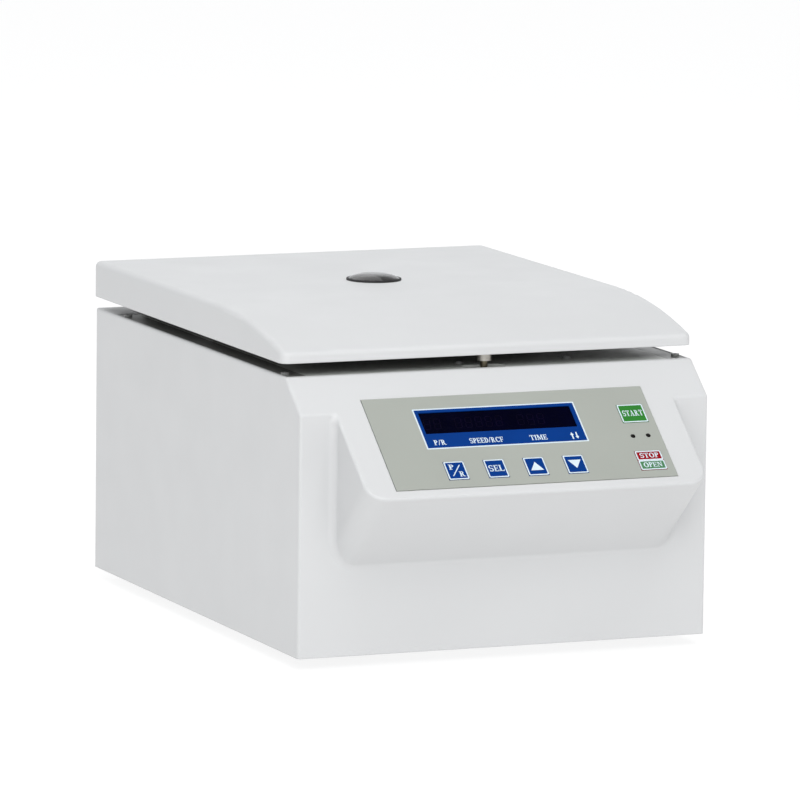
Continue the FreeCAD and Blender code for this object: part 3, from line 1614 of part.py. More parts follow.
def main():
    """Build every piece and write it to its own file."""
    os.makedirs("parts", exist_ok=True)
    save("casing", make_casing())
    save("deck_plate", make_deck_plate())
    save("base_plate", make_base_plate())
    save("rubber_feet", make_rubber_feet())
    save("rear_panel", make_rear_panel())
    save("base_screws", make_base_screws())
    save("panel_screws", make_panel_screws())
    save("chamber_bowl", make_chamber_bowl())
    save("chamber_seal", make_chamber_seal())
    save("guard_ring", make_guard_ring())
    save("guard_posts", make_guard_posts())
    save("motor_housing", make_motor_housing())
    save("motor_cover", make_motor_cover())
    save("motor_bearings", make_motor_bearings())
    save("motor_plate", make_motor_plate())
    save("rubber_mounts", make_rubber_mounts())
    save("stator_core", make_stator_core())
    save("stator_windings", make_stator_windings())
    save("drive_boot", make_drive_boot())
    save("motor_shaft", make_motor_shaft())
    save("motor_rotor", make_motor_rotor())
    save("angle_rotor", make_angle_rotor())
    save("rotor_bolt", make_rotor_bolt())
    save("rotor_lid", make_rotor_lid())
    save("rotor_lid_seal", make_rotor_lid_seal())
    save("rotor_knob", make_rotor_knob())
    save("knob_clip", make_knob_clip())
    save("hinge_bases", make_hinge_bases())
    save("hinge_pins", make_hinge_pins())
    save("hinge_leaves", make_hinge_leaves())
    save("lid_shell", make_lid_shell())
    save("lid_liner", make_lid_liner())
    save("lid_plate", make_lid_plate())
    save("window_grommet", make_window_grommet())
    save("viewing_window", make_viewing_window())
    save("lid_screws", make_lid_screws())
    save("lid_striker", make_lid_striker())
    save("lock_bracket", make_lock_bracket())
    save("lock_slide", make_lock_slide())
    save("lock_plunger", make_lock_plunger())
    save("lock_solenoid", make_lock_solenoid())
    save("lock_sensor", make_lock_sensor())
    save("keypad_overlay", make_keypad_overlay())
    save("display_window", make_display_window())
    save("display_module", make_display_module())
    save("key_switches", make_key_switches())
    save("indicator_lamps", make_indicator_lamps())
    save("control_board", make_control_board())
    save("board_posts", make_board_posts())
    save("power_inlet", make_power_inlet())
    save("inlet_pins", inlet_pin_shapes(running_clearance))
    save("switch_frame", make_switch_frame())
    save("power_rocker", make_power_rocker())
    save("driver_board", make_driver_board())
    for name, place in key_layout.items():
        save(name, make_key(*place))


main()
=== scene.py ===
"""Looks of the laboratory centrifuge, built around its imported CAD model.

Sizes are in mm and made metres by MM.
"""

import json
import math

import bmesh
import bpy
from mathutils import Matrix, Vector


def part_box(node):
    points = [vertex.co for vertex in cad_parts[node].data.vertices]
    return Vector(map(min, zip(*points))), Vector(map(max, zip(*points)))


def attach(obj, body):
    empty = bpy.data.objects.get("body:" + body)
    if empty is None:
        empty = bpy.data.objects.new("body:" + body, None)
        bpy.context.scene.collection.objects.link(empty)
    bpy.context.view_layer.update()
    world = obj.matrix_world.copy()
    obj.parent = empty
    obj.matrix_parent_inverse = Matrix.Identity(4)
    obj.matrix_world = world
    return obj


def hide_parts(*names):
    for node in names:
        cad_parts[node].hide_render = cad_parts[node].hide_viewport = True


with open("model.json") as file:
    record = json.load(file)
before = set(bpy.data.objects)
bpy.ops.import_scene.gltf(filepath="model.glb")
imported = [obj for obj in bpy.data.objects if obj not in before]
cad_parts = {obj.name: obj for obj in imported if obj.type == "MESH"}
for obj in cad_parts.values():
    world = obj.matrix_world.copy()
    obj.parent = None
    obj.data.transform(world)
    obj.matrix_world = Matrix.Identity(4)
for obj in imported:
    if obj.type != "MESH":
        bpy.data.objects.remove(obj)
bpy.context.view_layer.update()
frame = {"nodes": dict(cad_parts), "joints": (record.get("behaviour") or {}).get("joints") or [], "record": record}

MM = 0.001
nodes = frame["nodes"]


# ---- places taken from the CAD model ----
def span(name):
    """Lowest and highest corner of a CAD node, in mm."""
    low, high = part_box(name)
    return low / MM, high / MM


def joint(name):
    return next(row for row in frame["joints"] if row["name"] == name)


press_axis = Vector(joint("key_start_press")["axis"])
OUT = -press_axis.normalized()
ACROSS = Vector((1, 0, 0))
UPSLOPE = OUT.cross(ACROSS)


def console_span(name, origin=Vector((0, 0, 0))):
    """Box of a CAD node across the console, up its slope and out of it, in mm."""
    points = [vertex.co / MM - origin for vertex in nodes[name].data.vertices]
    low = Vector([min(point.dot(axis) for point in points) for axis in (ACROSS, UPSLOPE, OUT)])
    high = Vector([max(point.dot(axis) for point in points) for axis in (ACROSS, UPSLOPE, OUT)])
    return low, high


sheet_low, sheet_high = console_span("keypad_overlay")
SHEET_CENTRE = (
    ACROSS * (sheet_low.x + sheet_high.x) / 2
    + UPSLOPE * (sheet_low.y + sheet_high.y) / 2
    + OUT * sheet_high.z
)


def on_console(point):
    """Place of a point given across, up the slope and out of the facing sheet's top."""
    x, y, z = point
    return (SHEET_CENTRE + ACROSS * x + UPSLOPE * y + OUT * z) * MM


def plain(point):
    return Vector(point) * MM


# ---- materials ----
TURN_TO_LENGTH = 0.004  # metres of pattern for each radian round an axis
CRYSTAL_SHARE = 0.16


def shader_of(name):
    made = bpy.data.materials.new(name)
    made.use_nodes = True
    tree = made.node_tree
    return made, tree.nodes, tree.links, tree.nodes["Principled BSDF"]


def math_node(nodes_, links, kind, first, second=None):
    node = nodes_.new("ShaderNodeMath")
    node.operation = kind
    for index, value in enumerate((first, second)):
        if value is None:
            continue
        if isinstance(value, (int, float)):
            node.inputs[index].default_value = value
        else:
            links.new(value, node.inputs[index])
    return node.outputs[0]


def coordinates(nodes_, links, stretch, around):
    """Object coordinates, stretched, or radius, angle and height round an upright axis."""
    source = nodes_.new("ShaderNodeTexCoord").outputs["Object"]
    if around:
        split = nodes_.new("ShaderNodeSeparateXYZ")
        links.new(source, split.inputs[0])
        x = math_node(nodes_, links, "SUBTRACT", split.outputs[0], around[0] * MM)
        y = math_node(nodes_, links, "SUBTRACT", split.outputs[1], around[1] * MM)
        x_square = math_node(nodes_, links, "MULTIPLY", x, x)
        y_square = math_node(nodes_, links, "MULTIPLY", y, y)
        square = math_node(nodes_, links, "ADD", x_square, y_square)
        radius = math_node(nodes_, links, "SQRT", square)
        turn = math_node(nodes_, links, "ARCTAN2", y, x)
        angle = math_node(nodes_, links, "MULTIPLY", turn, TURN_TO_LENGTH)
        joined = nodes_.new("ShaderNodeCombineXYZ")
        for index, value in enumerate((radius, angle, split.outputs[2])):
            links.new(value, joined.inputs[index])
        source = joined.outputs[0]
    mapping = nodes_.new("ShaderNodeMapping")
    mapping.inputs["Scale"].default_value = stretch
    links.new(source, mapping.inputs["Vector"])
    return mapping.outputs[0]


def noise(nodes_, links, vector, size, detail=2.0):
    """Noise whose features are about size mm across."""
    node = nodes_.new("ShaderNodeTexNoise")
    node.inputs["Scale"].default_value = 1 / (size * MM)
    node.inputs["Detail"].default_value = detail
    links.new(vector, node.inputs["Vector"])
    return node.outputs["Fac"]


def inside(nodes_, links, low, high):
    """1 within a box given by two corners in mm, and 0 outside it."""
    split = nodes_.new("ShaderNodeSeparateXYZ")
    links.new(nodes_.new("ShaderNodeTexCoord").outputs["Object"], split.inputs[0])
    mask = 1.0
    for value, low_end, high_end in zip(split.outputs, low, high):
        above = math_node(nodes_, links, "GREATER_THAN", value, low_end * MM)
        below = math_node(nodes_, links, "LESS_THAN", value, high_end * MM)
        both = math_node(nodes_, links, "MULTIPLY", above, below)
        mask = math_node(nodes_, links, "MULTIPLY", both, mask)
    return mask


def ranged(nodes_, links, value, low, high):
    node = nodes_.new("ShaderNodeMapRange")
    node.inputs["From Min"].default_value = 0.3
    node.inputs["From Max"].default_value = 0.7
    node.inputs["To Min"].default_value = low
    node.inputs["To Max"].default_value = high
    links.new(value, node.inputs["Value"])
    return node.outputs["Result"]


def between(nodes_, links, factor, first, second):
    """Colour that runs from first to second with the factor."""
    node = nodes_.new("ShaderNodeMix")
    node.data_type = "RGBA"
    links.new(factor, node.inputs["Factor"])
    for socket, value in (("A", first), ("B", second)):
        target = next(s for s in node.inputs if s.name == socket and s.type == "RGBA")
        if isinstance(value, tuple):
            target.default_value = (*value, 1)
        else:
            links.new(value, target)
    return next(s for s in node.outputs if s.type == "RGBA")


def toned(colour, share):
    return tuple(min(1, channel * share) for channel in colour)


def surface(
    name,
    colour,
    roughness,
    tone=0.03,
    patch=40,
    spread=0.05,
    grain=0.8,
    height=0.006,
    metallic=0.0,
    stretch=(1, 1, 1),
    around=None,
    cells=0.0,
    specular=0.5,
    edge=0.0,
    zone=None,
):
    """Material with slow patches of tone, uneven gloss and a fine surface grain.

    If asked it has crystal cells, softened edges, or another colour inside a box.
    """
    made, nodes_, links, shader = shader_of(name)
    vector = coordinates(nodes_, links, stretch, around)
    patches = ranged(nodes_, links, noise(nodes_, links, vector, patch, 4.0), 0, 1)
    shade = between(nodes_, links, patches, toned(colour, 1 - tone), toned(colour, 1 + tone))
    if cells:
        crystals = nodes_.new("ShaderNodeTexVoronoi")
        crystals.inputs["Scale"].default_value = 1 / (cells * MM)
        links.new(vector, crystals.inputs["Vector"])
        split = nodes_.new("ShaderNodeSeparateColor")
        links.new(crystals.outputs["Color"], split.inputs[0])
        share = math_node(nodes_, links, "MULTIPLY", split.outputs[0], CRYSTAL_SHARE)
        shade = between(nodes_, links, share, shade, toned(colour, 1.5))
    if zone:
        low, high, zone_colour = zone
        shade = between(nodes_, links, inside(nodes_, links, low, high), shade, zone_colour)
    links.new(shade, shader.inputs["Base Color"])
    gloss = ranged(
        nodes_,
        links,
        noise(nodes_, links, vector, patch / 3, 3.0),
        max(0.02, roughness - spread),
        min(1, roughness + spread),
    )
    links.new(gloss, shader.inputs["Roughness"])
    shader.inputs["Metallic"].default_value = metallic
    shader.inputs["Specular IOR Level"].default_value = specular
    bump = nodes_.new("ShaderNodeBump")
    bump.inputs["Distance"].default_value = height * MM
    bump.inputs["Strength"].default_value = 1.0
    links.new(noise(nodes_, links, vector, grain), bump.inputs["Height"])
    if edge:
        soft = nodes_.new("ShaderNodeBevel")
        soft.samples = 6
        soft.inputs["Radius"].default_value = edge * MM
        links.new(soft.outputs[0], bump.inputs["Normal"])
    links.new(bump.outputs[0], shader.inputs["Normal"])
    return made


# ---- finishes ----
spindle = Vector(joint("spindle_spin")["pos_m"]) / MM
ROUND_AXIS = (spindle.x, spindle.y)

paint = surface(
    "white_paint", (0.605, 0.61, 0.615), 0.4,
    tone=0.012, patch=90, spread=0.05, grain=0.9, height=0.008, edge=0.9,
)
lid_paint = surface(
    "lid_paint",
    (0.620, 0.625, 0.630),
    0.48,
    tone=0.012,
    patch=120,
    spread=0.05,
    grain=1.1,
    height=0.008,
    specular=0.35,
    edge=0.9,
)
deck_low, deck_high = span("deck_plate")
# Painted shade: the deck keeps a dark grey colour only in a strip along each side, under the lid's side edges,
# where it stands in for their shade. The box between the strips takes the deck's light grey colour.
DECK_PAINTED_SHADE_SIDE = 14.0
deck_finish_with_painted_shade = surface(
    "deck_enamel",
    (0.190, 0.195, 0.186),
    0.34,
    tone=0.05,
    patch=60,
    grain=0.5,
    height=0.010,
    zone=(
        (deck_low.x + DECK_PAINTED_SHADE_SIDE, deck_low.y - 1, deck_low.z - 1),
        (deck_high.x - DECK_PAINTED_SHADE_SIDE, deck_high.y + 1, deck_high.z + 1),
        (0.58, 0.60, 0.57),
    ),
)
liner_finish = surface(
    "dark_liner", (0.060, 0.058, 0.056), 0.5,
    tone=0.05, patch=50, grain=0.7, height=0.02,
)
zinc = surface(
    "zinc_plate", (0.50, 0.51, 0.52), 0.34,
    tone=0.06, patch=25, grain=0.6, height=0.004, metallic=1.0, cells=3.0,
)
screw_coat = surface(
    "coated_screws", (0.19, 0.195, 0.19), 0.38, tone=0.1, patch=5, grain=0.3, height=0.004
)
steel = surface(
    "screw_steel", (0.56, 0.55, 0.54), 0.26,
    tone=0.05, patch=6, grain=0.3, height=0.004, metallic=1.0,
)
bowl_finish = surface(
    "turned_stainless",
    (0.66, 0.66, 0.65),
    0.34,
    tone=0.04,
    patch=60,
    grain=0.35,
    height=0.006,
    metallic=0.75,
    stretch=(1, 0.25, 1),
    around=ROUND_AXIS,
)
rotor_finish = surface(
    "anodised_rotor",
    (0.40, 0.41, 0.43),
    0.38,
    tone=0.04,
    patch=40,
    grain=0.28,
    height=0.006,
    metallic=0.6,
    stretch=(1, 0.2, 1),
    around=ROUND_AXIS,
)
cover_finish = surface(
    "rotor_lid_metal",
    (0.56, 0.57, 0.59),
    0.36,
    tone=0.04,
    patch=40,
    grain=0.26,
    height=0.006,
    metallic=0.6,
    stretch=(1, 0.2, 1),
    around=ROUND_AXIS,
)
rubber = surface("black_rubber", (0.018, 0.018, 0.019), 0.68, tone=0.2, patch=10, grain=0.35, height=0.02)
dark_plastic = surface(
    "black_plastic", (0.017, 0.017, 0.018), 0.45,
    tone=0.15, patch=14, grain=0.45, height=0.025,
)
knob_finish = surface("knob_plastic", (0.02, 0.02, 0.022), 0.38, tone=0.15, patch=8, grain=0.6, height=0.02)
motor_finish = surface("motor_paint", (0.045, 0.05, 0.06), 0.5, tone=0.12, patch=20, grain=0.8, height=0.03)
cast_finish = surface(
    "cast_cover", (0.42, 0.42, 0.43), 0.5,
    tone=0.1, patch=9, grain=1.4, height=0.06, metallic=0.9,
)
core_finish = surface(
    "laminations", (0.25, 0.25, 0.26), 0.45,
    tone=0.1, patch=8, grain=0.5, height=0.05, metallic=1.0, stretch=(0.1, 0.1, 1),
)
copper = surface(
    "copper_wire", (0.60, 0.22, 0.09), 0.3,
    tone=0.12, patch=4, grain=0.8, height=0.12, metallic=1.0,
)
sheet_film = surface(
    "facing_film", (0.349, 0.366, 0.333), 0.5, tone=0.02, patch=60, grain=0.35, height=0.006, specular=0.3
)
blue_print = surface(
    "blue_print", (0.0008, 0.035, 0.205), 0.4,
    tone=0.05, patch=14, grain=0.3, height=0.004, specular=0.04,
)
green_print = surface(
    "green_print", (0.030, 0.195, 0.030), 0.4,
    tone=0.05, patch=9, grain=0.3, height=0.004, specular=0.05,
)
red_print = surface(
    "red_print", (0.27, 0.003, 0.008), 0.4,
    tone=0.05, patch=9, grain=0.3, height=0.004, specular=0.05,
)
open_print = surface(
    "open_print", (0.070, 0.200, 0.092), 0.4,
    tone=0.05, patch=9, grain=0.3, height=0.004, specular=0.05,
)
pale_print = surface("pale_print", (0.62, 0.72, 0.78), 0.4, tone=0.03, patch=6, grain=0.3, height=0.003)
lamp_finish = surface(
    "dark_lamp", (0.004, 0.003, 0.003), 0.2,
    tone=0.2, patch=2, spread=0.02, grain=0.5, height=0.002, specular=0.1,
)
rim_rubber = surface(
    "rim_rubber", (0.006, 0.006, 0.007), 0.5,
    tone=0.2, patch=6, grain=0.4, height=0.01, specular=0.15,
)
board_finish = surface(
    "board_lacquer", (0.015, 0.11, 0.045), 0.35,
    tone=0.2, patch=7, grain=0.9, height=0.03,
)
wrap_finish = surface("coil_wrap", (0.10, 0.075, 0.02), 0.5, tone=0.15, patch=5, grain=0.5, height=0.03)
brass = surface(
    "brass_pins", (0.62, 0.46, 0.2), 0.28,
    tone=0.05, patch=5, grain=0.4, height=0.003, metallic=1.0,
)
block_finish = surface("display_block", (0.03, 0.03, 0.032), 0.4, tone=0.1, patch=9, grain=0.4, height=0.01)
striker_low, striker_high = span("lid_striker")
striker_collar = 198.6  # height of the collar's lower face; the pin is darker below it
striker_finish = surface(
    "striker_metal",
    (0.40, 0.385, 0.35),
    0.38,
    tone=0.1,
    patch=3,
    grain=0.25,
    height=0.006,
    metallic=1.0,
    stretch=(1, 1, 4),
    zone=(
        (striker_low.x - 1, striker_low.y - 1, striker_low.z - 1),
        (striker_high.x + 1, striker_high.y + 1, striker_collar),
        (0.15, 0.13, 0.09),
    ),
)

finishes = {
    "white_paint": paint,
    "deck_enamel": deck_finish_with_painted_shade,
    "dark_liner": liner_finish,
    "zinc_steel": zinc,
    "stainless": bowl_finish,
    "black_rubber": rubber,
    "screw_steel": steel,
    "coated_screws": screw_coat,
    "motor_paint": motor_finish,
    "cast_cover": cast_finish,
    "laminations": core_finish,
    "copper": copper,
    "rotor_aluminium": rotor_finish,
    "black_knob": knob_finish,
    "overlay_grey": sheet_film,
    "display_block": block_finish,
    "blue_key": blue_print,
    "green_key": green_print,
    "red_key": red_print,
    "lamp_dark": lamp_finish,
    "board_green": board_finish,
    "black_plastic": dark_plastic,
    "brass_pins": brass,
    "solenoid_wrap": wrap_finish,
}


def dark_glass(name, tint, clear, roughness, tone, specular):
    """Dark see-through plastic: a share of plain see-through film under a glossy skin."""
    made, nodes_, links, shader = shader_of(name)
    vector = coordinates(nodes_, links, (1, 1, 1), None)
    patches = ranged(nodes_, links, noise(nodes_, links, vector, 12, 3.0), 0, 1)
    shade = between(nodes_, links, patches, toned(tint, 1 - tone), toned(tint, 1 + tone))
    links.new(shade, shader.inputs["Base Color"])
    gloss = ranged(nodes_, links, noise(nodes_, links, vector, 4, 3.0), roughness * 0.7, roughness * 1.5)
    links.new(gloss, shader.inputs["Roughness"])
    shader.inputs["Alpha"].default_value = 1 - clear
    shader.inputs["Specular IOR Level"].default_value = specular
    bump = nodes_.new("ShaderNodeBump")
    bump.inputs["Distance"].default_value = 0.004 * MM
    links.new(noise(nodes_, links, vector, 3.0), bump.inputs["Height"])
    links.new(bump.outputs[0], shader.inputs["Normal"])
    return made


smoked = dark_glass("smoked_window", (0.028, 0.026, 0.026), 0.22, 0.09, 0.2, 1.0)
display_finish = dark_glass("display_window", (0.0004, 0.0004, 0.0070), 0.02, 0.12, 0.2, 0.02)
finishes["smoked_window"] = smoked
finishes["display_dark"] = display_finish

part_finishes = {
    "lid_shell": lid_paint,
    "rotor_lid": cover_finish,
    "lid_striker": striker_finish,
}
slots = {row["node"]: row["material_slot"] for row in frame["record"]["subparts"]}
for name, node in nodes.items():
    finish = part_finishes.get(name, finishes[slots[name]])
    node.data.materials.clear()
    node.data.materials.append(finish)


# ---- meshes ----
class Shape:
    """Points and faces gathered for one piece; faces carry the number of their material."""

    def __init__(self, place=plain):
        self.place = place
        self.points = []
        self.faces = []
        self.kinds = []

    def add(self, points, faces, kind=0):
        start = len(self.points)
        self.points += [self.place(point) for point in points]
        self.faces += [tuple(start + index for index in face) for face in faces]
        self.kinds += [kind] * len(faces)

    def loops(self, loops, kinds, cap=True):
        """Bands of faces between loops of equal length; the last is filled, or joined to the first."""
        count = len(loops[0])
        faces = []
        marks = []
        rows = len(loops)
        for row in range(rows - 1 if cap else rows):
            following = (row + 1) % rows
            for index in range(count):
                after = (index + 1) % count
                near = row * count
                far = following * count
                faces.append((near + index, near + after, far + after, far + index))
                marks.append(kinds[min(row, len(kinds) - 1)])
        if cap:
            faces.append(tuple(range((rows - 1) * count, rows * count)))
            marks.append(kinds[-1])
        start = len(self.points)
        self.points += [self.place(point) for loop in loops for point in loop]
        self.faces += [tuple(start + index for index in face) for face in faces]
        self.kinds += marks

    def make(self, name, materials, body, sharp=35):
        mesh = bpy.data.meshes.new(name)
        mesh.from_pydata(self.points, [], self.faces)
        for material in materials:
            mesh.materials.append(material)
        mesh.polygons.foreach_set("material_index", self.kinds)
        edit = bmesh.new()
        edit.from_mesh(mesh)
        bmesh.ops.recalc_face_normals(edit, faces=edit.faces)
        edit.to_mesh(mesh)
        edit.free()
        mesh.shade_smooth()
        mesh.set_sharp_from_angle(angle=math.radians(sharp))
        piece = bpy.data.objects.new(name, mesh)
        bpy.context.scene.collection.objects.link(piece)
        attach(piece, body)
        return piece


def rounded(x, y, width, length, radius, z, steps=6):
    """Closed loop of a rectangle with round corners."""
    loop = []
    for quarter in range(4):
        side_x = (1, -1, -1, 1)[quarter]
        side_y = (1, 1, -1, -1)[quarter]
        centre_x = x + side_x * (width / 2 - radius)
        centre_y = y + side_y * (length / 2 - radius)
        for step in range(steps + 1):
            angle = math.pi / 2 * (quarter + step / steps)
            loop.append((centre_x + radius * math.cos(angle), centre_y + radius * math.sin(angle), z))
    return loop


def circle(x, y, radius, z, count=96):
    turn = 2 * math.pi / count
    return [(x + radius * math.cos(turn * i), y + radius * math.sin(turn * i), z) for i in range(count)]


def plate(outline, low, high):
    """Points and faces of a flat plate with straight sides."""
    count = len(outline)
    points = [(x, y, low) for x, y in outline] + [(x, y, high) for x, y in outline]
    faces = [tuple(range(count, 2 * count)), tuple(reversed(range(count)))]
    for index in range(count):
        after = (index + 1) % count
        faces.append((index, after, count + after, count + index))
    return points, faces


# ---- letters, drawn seven units tall with thick stems and slab serifs ----
CAP = 7.0
STEM = 1.4
THIN = 0.75
SERIF = 0.55
LETTER_GAP = 0.55


def bar(x0, y0, x1, y1):
    return [(x0, y0), (x1, y0), (x1, y1), (x0, y1)]


def stem(x, width=STEM):
    """Upright stroke with a serif at its foot and at its head."""
    left = x - SERIF
    right = x + width + SERIF
    return [bar(x, 0, x + width, CAP), bar(left, 0, right, THIN), bar(left, CAP - THIN, right, CAP)]


def bow(x, y, outer, inner, start, end, steps=10):
    """Curved stroke between two ellipses, from one angle to another in degrees."""
    pieces = []
    for step in range(steps):
        ring = []
        corners = ((outer, step), (outer, step + 1), (inner, step + 1), (inner, step))
        for (radius_x, radius_y), at in corners:
            angle = math.radians(start + (end - start) * at / steps)
            ring.append((x + radius_x * math.cos(angle), y + radius_y * math.sin(angle)))
        pieces.append(ring)
    return pieces


def arms(*rows):
    """Level strokes of an E, F or L with upright ends."""
    pieces = []
    for y, reach, tip_low, tip_high in rows:
        pieces += [bar(SERIF, y, reach, y + THIN), bar(reach - 0.5, tip_low, reach, tip_high)]
    return pieces


STEM_EDGE = SERIF + STEM
TOP_ARM = (CAP - THIN, 4.8, CAP - 1.9, CAP)
MIDDLE_ARM = (CAP / 2 - THIN / 2, 4.1, CAP / 2 - 0.9, CAP / 2 + 0.9)
FOOT_ARM = (0, 5.0, 0, 2.1)
P_BOWL = bow(STEM_EDGE, CAP - 1.95, (2.5, 1.95), (1.2, 1.95 - THIN), -90, 90)
GLYPHS = {
    "A": [
        [(0.75, 0), (1.4, 0), (3.45, CAP), (2.8, CAP)],
        [(2.6, CAP), (3.6, CAP), (5.9, 0), (4.4, 0)],
        bar(1.5, 2.0, 4.8, 2.0 + THIN),
        bar(0, 0, 2.1, THIN),
        bar(3.6, 0, 6.6, THIN),
    ],
    "C": bow(3.1, CAP / 2, (3.1, CAP / 2), (1.6, CAP / 2 - THIN), 38, 322, 18) + [bar(4.9, 4.5, 5.5, 6.6)],
    "D": stem(SERIF) + bow(STEM_EDGE, CAP / 2, (3.3, CAP / 2), (1.8, CAP / 2 - THIN), -90, 90, 12),
    "E": stem(SERIF) + arms(FOOT_ARM, MIDDLE_ARM, TOP_ARM),
    "F": stem(SERIF) + arms(MIDDLE_ARM, TOP_ARM),
    "I": stem(SERIF),
    "L": stem(SERIF) + arms(FOOT_ARM),
    "M": [
        bar(0.9, 0, 1.6, CAP),
        [(0.9, CAP), (2.4, CAP), (4.4, 0.9), (3.5, 0.2)],
        [(3.5, 0.2), (4.2, 0.9), (6.3, CAP), (5.7, CAP)],
        bar(5.8, 0, 5.8 + STEM, CAP),
        bar(0.2, 0, 2.3, THIN),
        bar(0.1, CAP - THIN, 1.8, CAP),
        bar(5.2, 0, 7.8, THIN),
        bar(6.0, CAP - THIN, 7.8, CAP),
    ],
    "N": [
        bar(0.9, 0, 1.6, CAP),
        [(0.9, CAP), (2.5, CAP), (5.7, 0), (4.8, 0)],
        bar(5.0, 0, 5.7, CAP),
        bar(0.2, 0, 2.3, THIN),
        bar(0.1, CAP - THIN, 1.8, CAP),
        bar(4.3, CAP - THIN, 6.4, CAP),
    ],
    "O": bow(3.1, CAP / 2, (3.1, CAP / 2), (1.6, CAP / 2 - THIN), 0, 360, 24),
    "P": stem(SERIF) + P_BOWL,
    "R": stem(SERIF) + P_BOWL + [[(2.2, 3.4), (3.6, 3.4), (5.4, 0), (3.9, 0)], bar(3.6, 0, 6.0, THIN)],
    "S": [
        *bow(2.5, CAP - 1.95, (2.3, 1.95), (1.1, 1.95 - THIN), 40, 270, 14),
        *bow(2.5, 1.95 + 0.05, (2.3, 2.0), (1.1, 2.0 - THIN), -140, 90, 14),
        bar(3.9, 4.9, 4.4, 6.8),
        bar(0.5, 0.2, 1.0, 2.1),
    ],
    "T": [
        *stem(2.0),
        bar(0, CAP - THIN, 5.4, CAP),
        bar(0, CAP - 2.1, 0.55, CAP),
        bar(4.85, CAP - 2.1, 5.4, CAP),
    ],
    "/": [[(0, 0), (0.8, 0), (3.2, CAP), (2.4, CAP)]],
}


def word(text, x, y, width, height, low, high):
    """Points and faces of a word of upright letters that fills a box."""
    pieces = []
    pen = 0.0
    for letter in text:
        glyph = GLYPHS[letter]
        left = min(px for outline in glyph for px, _ in outline)
        right = max(px for outline in glyph for px, _ in outline)
        pieces += [[(px - left + pen, py) for px, py in outline] for outline in glyph]
        pen += right - left + LETTER_GAP
    across = width / (pen - LETTER_GAP)
    along = height / CAP
    points = []
    faces = []
    for outline in pieces:
        placed = [(x - width / 2 + px * across, y - height / 2 + py * along) for px, py in outline]
        corners, sides = plate(placed, low, high)
        faces += [tuple(len(points) + index for index in side) for side in sides]
        points += corners
    return points, faces


# ---- console print, lying on the facing sheet ----
INK_LOW = -0.02
INK_HIGH = 0.03
LETTER_HIGH = 0.06
window_low, window_high = console_span("display_window", SHEET_CENTRE)
window_x = (window_low.x + window_high.x) / 2
window_y = (window_low.y + window_high.y) / 2
window_width = window_high.x - window_low.x
window_length = window_high.y - window_low.y

frame_left = 3.4
frame_right = 4.0
frame_top = 3.4
frame_bottom = 13.7
outline_width = 1.0
frame_width = window_width + frame_left + frame_right
frame_length = window_length + frame_top + frame_bottom
frame_x = window_x + (frame_right - frame_left) / 2
frame_y = window_y + (frame_top - frame_bottom) / 2
opening_lap = 0.1

print_shape = Shape(on_console)
outer = (frame_x, frame_y, frame_width, frame_length)
inner = (frame_x, frame_y, frame_width - 2 * outline_width, frame_length - 2 * outline_width)
hole = (window_x, window_y, window_width - opening_lap, window_length - opening_lap)
print_shape.loops(
    [
        rounded(*outer, 0.6, INK_LOW),
        rounded(*outer, 0.6, INK_HIGH),
        rounded(*inner, 0.4, INK_HIGH),
        rounded(*hole, 0.3, INK_HIGH),
        rounded(*hole, 0.3, window_high.z - INK_HIGH),
    ],
    [0, 0, 1, 1],
    cap=False,
)
print_shape.make("display_frame_print", [pale_print, blue_print], "casing")

label_row = window_low.y - 7.95
label_height = 4.6
labels = Shape(on_console)
for text, x, width in (("P/R", -58.5, 8.6), ("SPEED/RCF", -24.6, 24.4), ("TIME", 13.5, 12.4)):
    labels.add(*word(text, x, label_row, width, label_height, INK_LOW, LETTER_HIGH))


def arrow(x, y, height, direction):
    """Outline of a thick arrow that points up or down the slope."""
    half_shaft = 0.5
    half_head = 1.3
    neck = height - 2.4
    outline = [(-half_shaft, 0), (half_shaft, 0), (half_shaft, neck), (half_head, neck), (0, height)]
    outline += [(-half_head, neck), (-half_shaft, neck)]
    turned = outline if direction > 0 else [(px, height - py) for px, py in reversed(outline)]
    return [(x + px, y - height / 2 + py) for px, py in turned]


for x, direction in ((38.4, 1), (41.8, -1)):
    labels.add(*plate(arrow(x, label_row, 6.0, direction), INK_LOW, LETTER_HIGH))
labels.make("label_print", [pale_print], "casing")


# ---- unlit digits behind the display window ----
def digit(x, y, width, height):
    """Seven bars of an unlit digit."""
    half_bar = 0.75 / 2
    gap = 0.25
    lean = 0.12
    half_w = width / 2
    half_h = height / 2
    bars = []
    for level in (-half_h, 0, half_h):
        bars.append([(-half_w + gap, level), (half_w - gap, level)])
    for side in (-half_w, half_w):
        bars.append([(side, gap), (side, half_h - gap)])
        bars.append([(side, gap - half_h), (side, -gap)])
    outlines = []
    for (x0, y0), (x1, y1) in bars:
        if y0 == y1:
            ring = [(x0, y0), (x0 + half_bar, y0 - half_bar), (x1 - half_bar, y0 - half_bar), (x1, y0)]
            ring += [(x1 - half_bar, y0 + half_bar), (x0 + half_bar, y0 + half_bar)]
        else:
            ring = [(x0, y0), (x0 + half_bar, y0 + half_bar), (x0 + half_bar, y1 - half_bar), (x0, y1)]
            ring += [(x0 - half_bar, y1 - half_bar), (x0 - half_bar, y0 + half_bar)]
        outlines.append([(x + px + lean * py, y + py) for px, py in ring])
    return outlines


digits = Shape(on_console)
digit_low = window_high.z + 0.004
for group_x, count in ((-58.5, 2), (-24.6, 5), (13.5, 3)):
    for place in range(count):
        x = group_x + (place - (count - 1) / 2) * 7.4
        for outline in digit(x, window_y - 0.4, 4.4, 9.0):
            digits.add(*plate(outline, window_high.z - 0.05, digit_low))
unlit = surface(
    "unlit_digits", (0.0016, 0.0006, 0.0078), 0.35,
    tone=0.4, patch=6, grain=0.4, height=0.001, specular=0.02,
)
digits.make("unlit_digits", [unlit], "casing")


# ---- keys ----
BORDER = 0.95
CROWN = 0.18


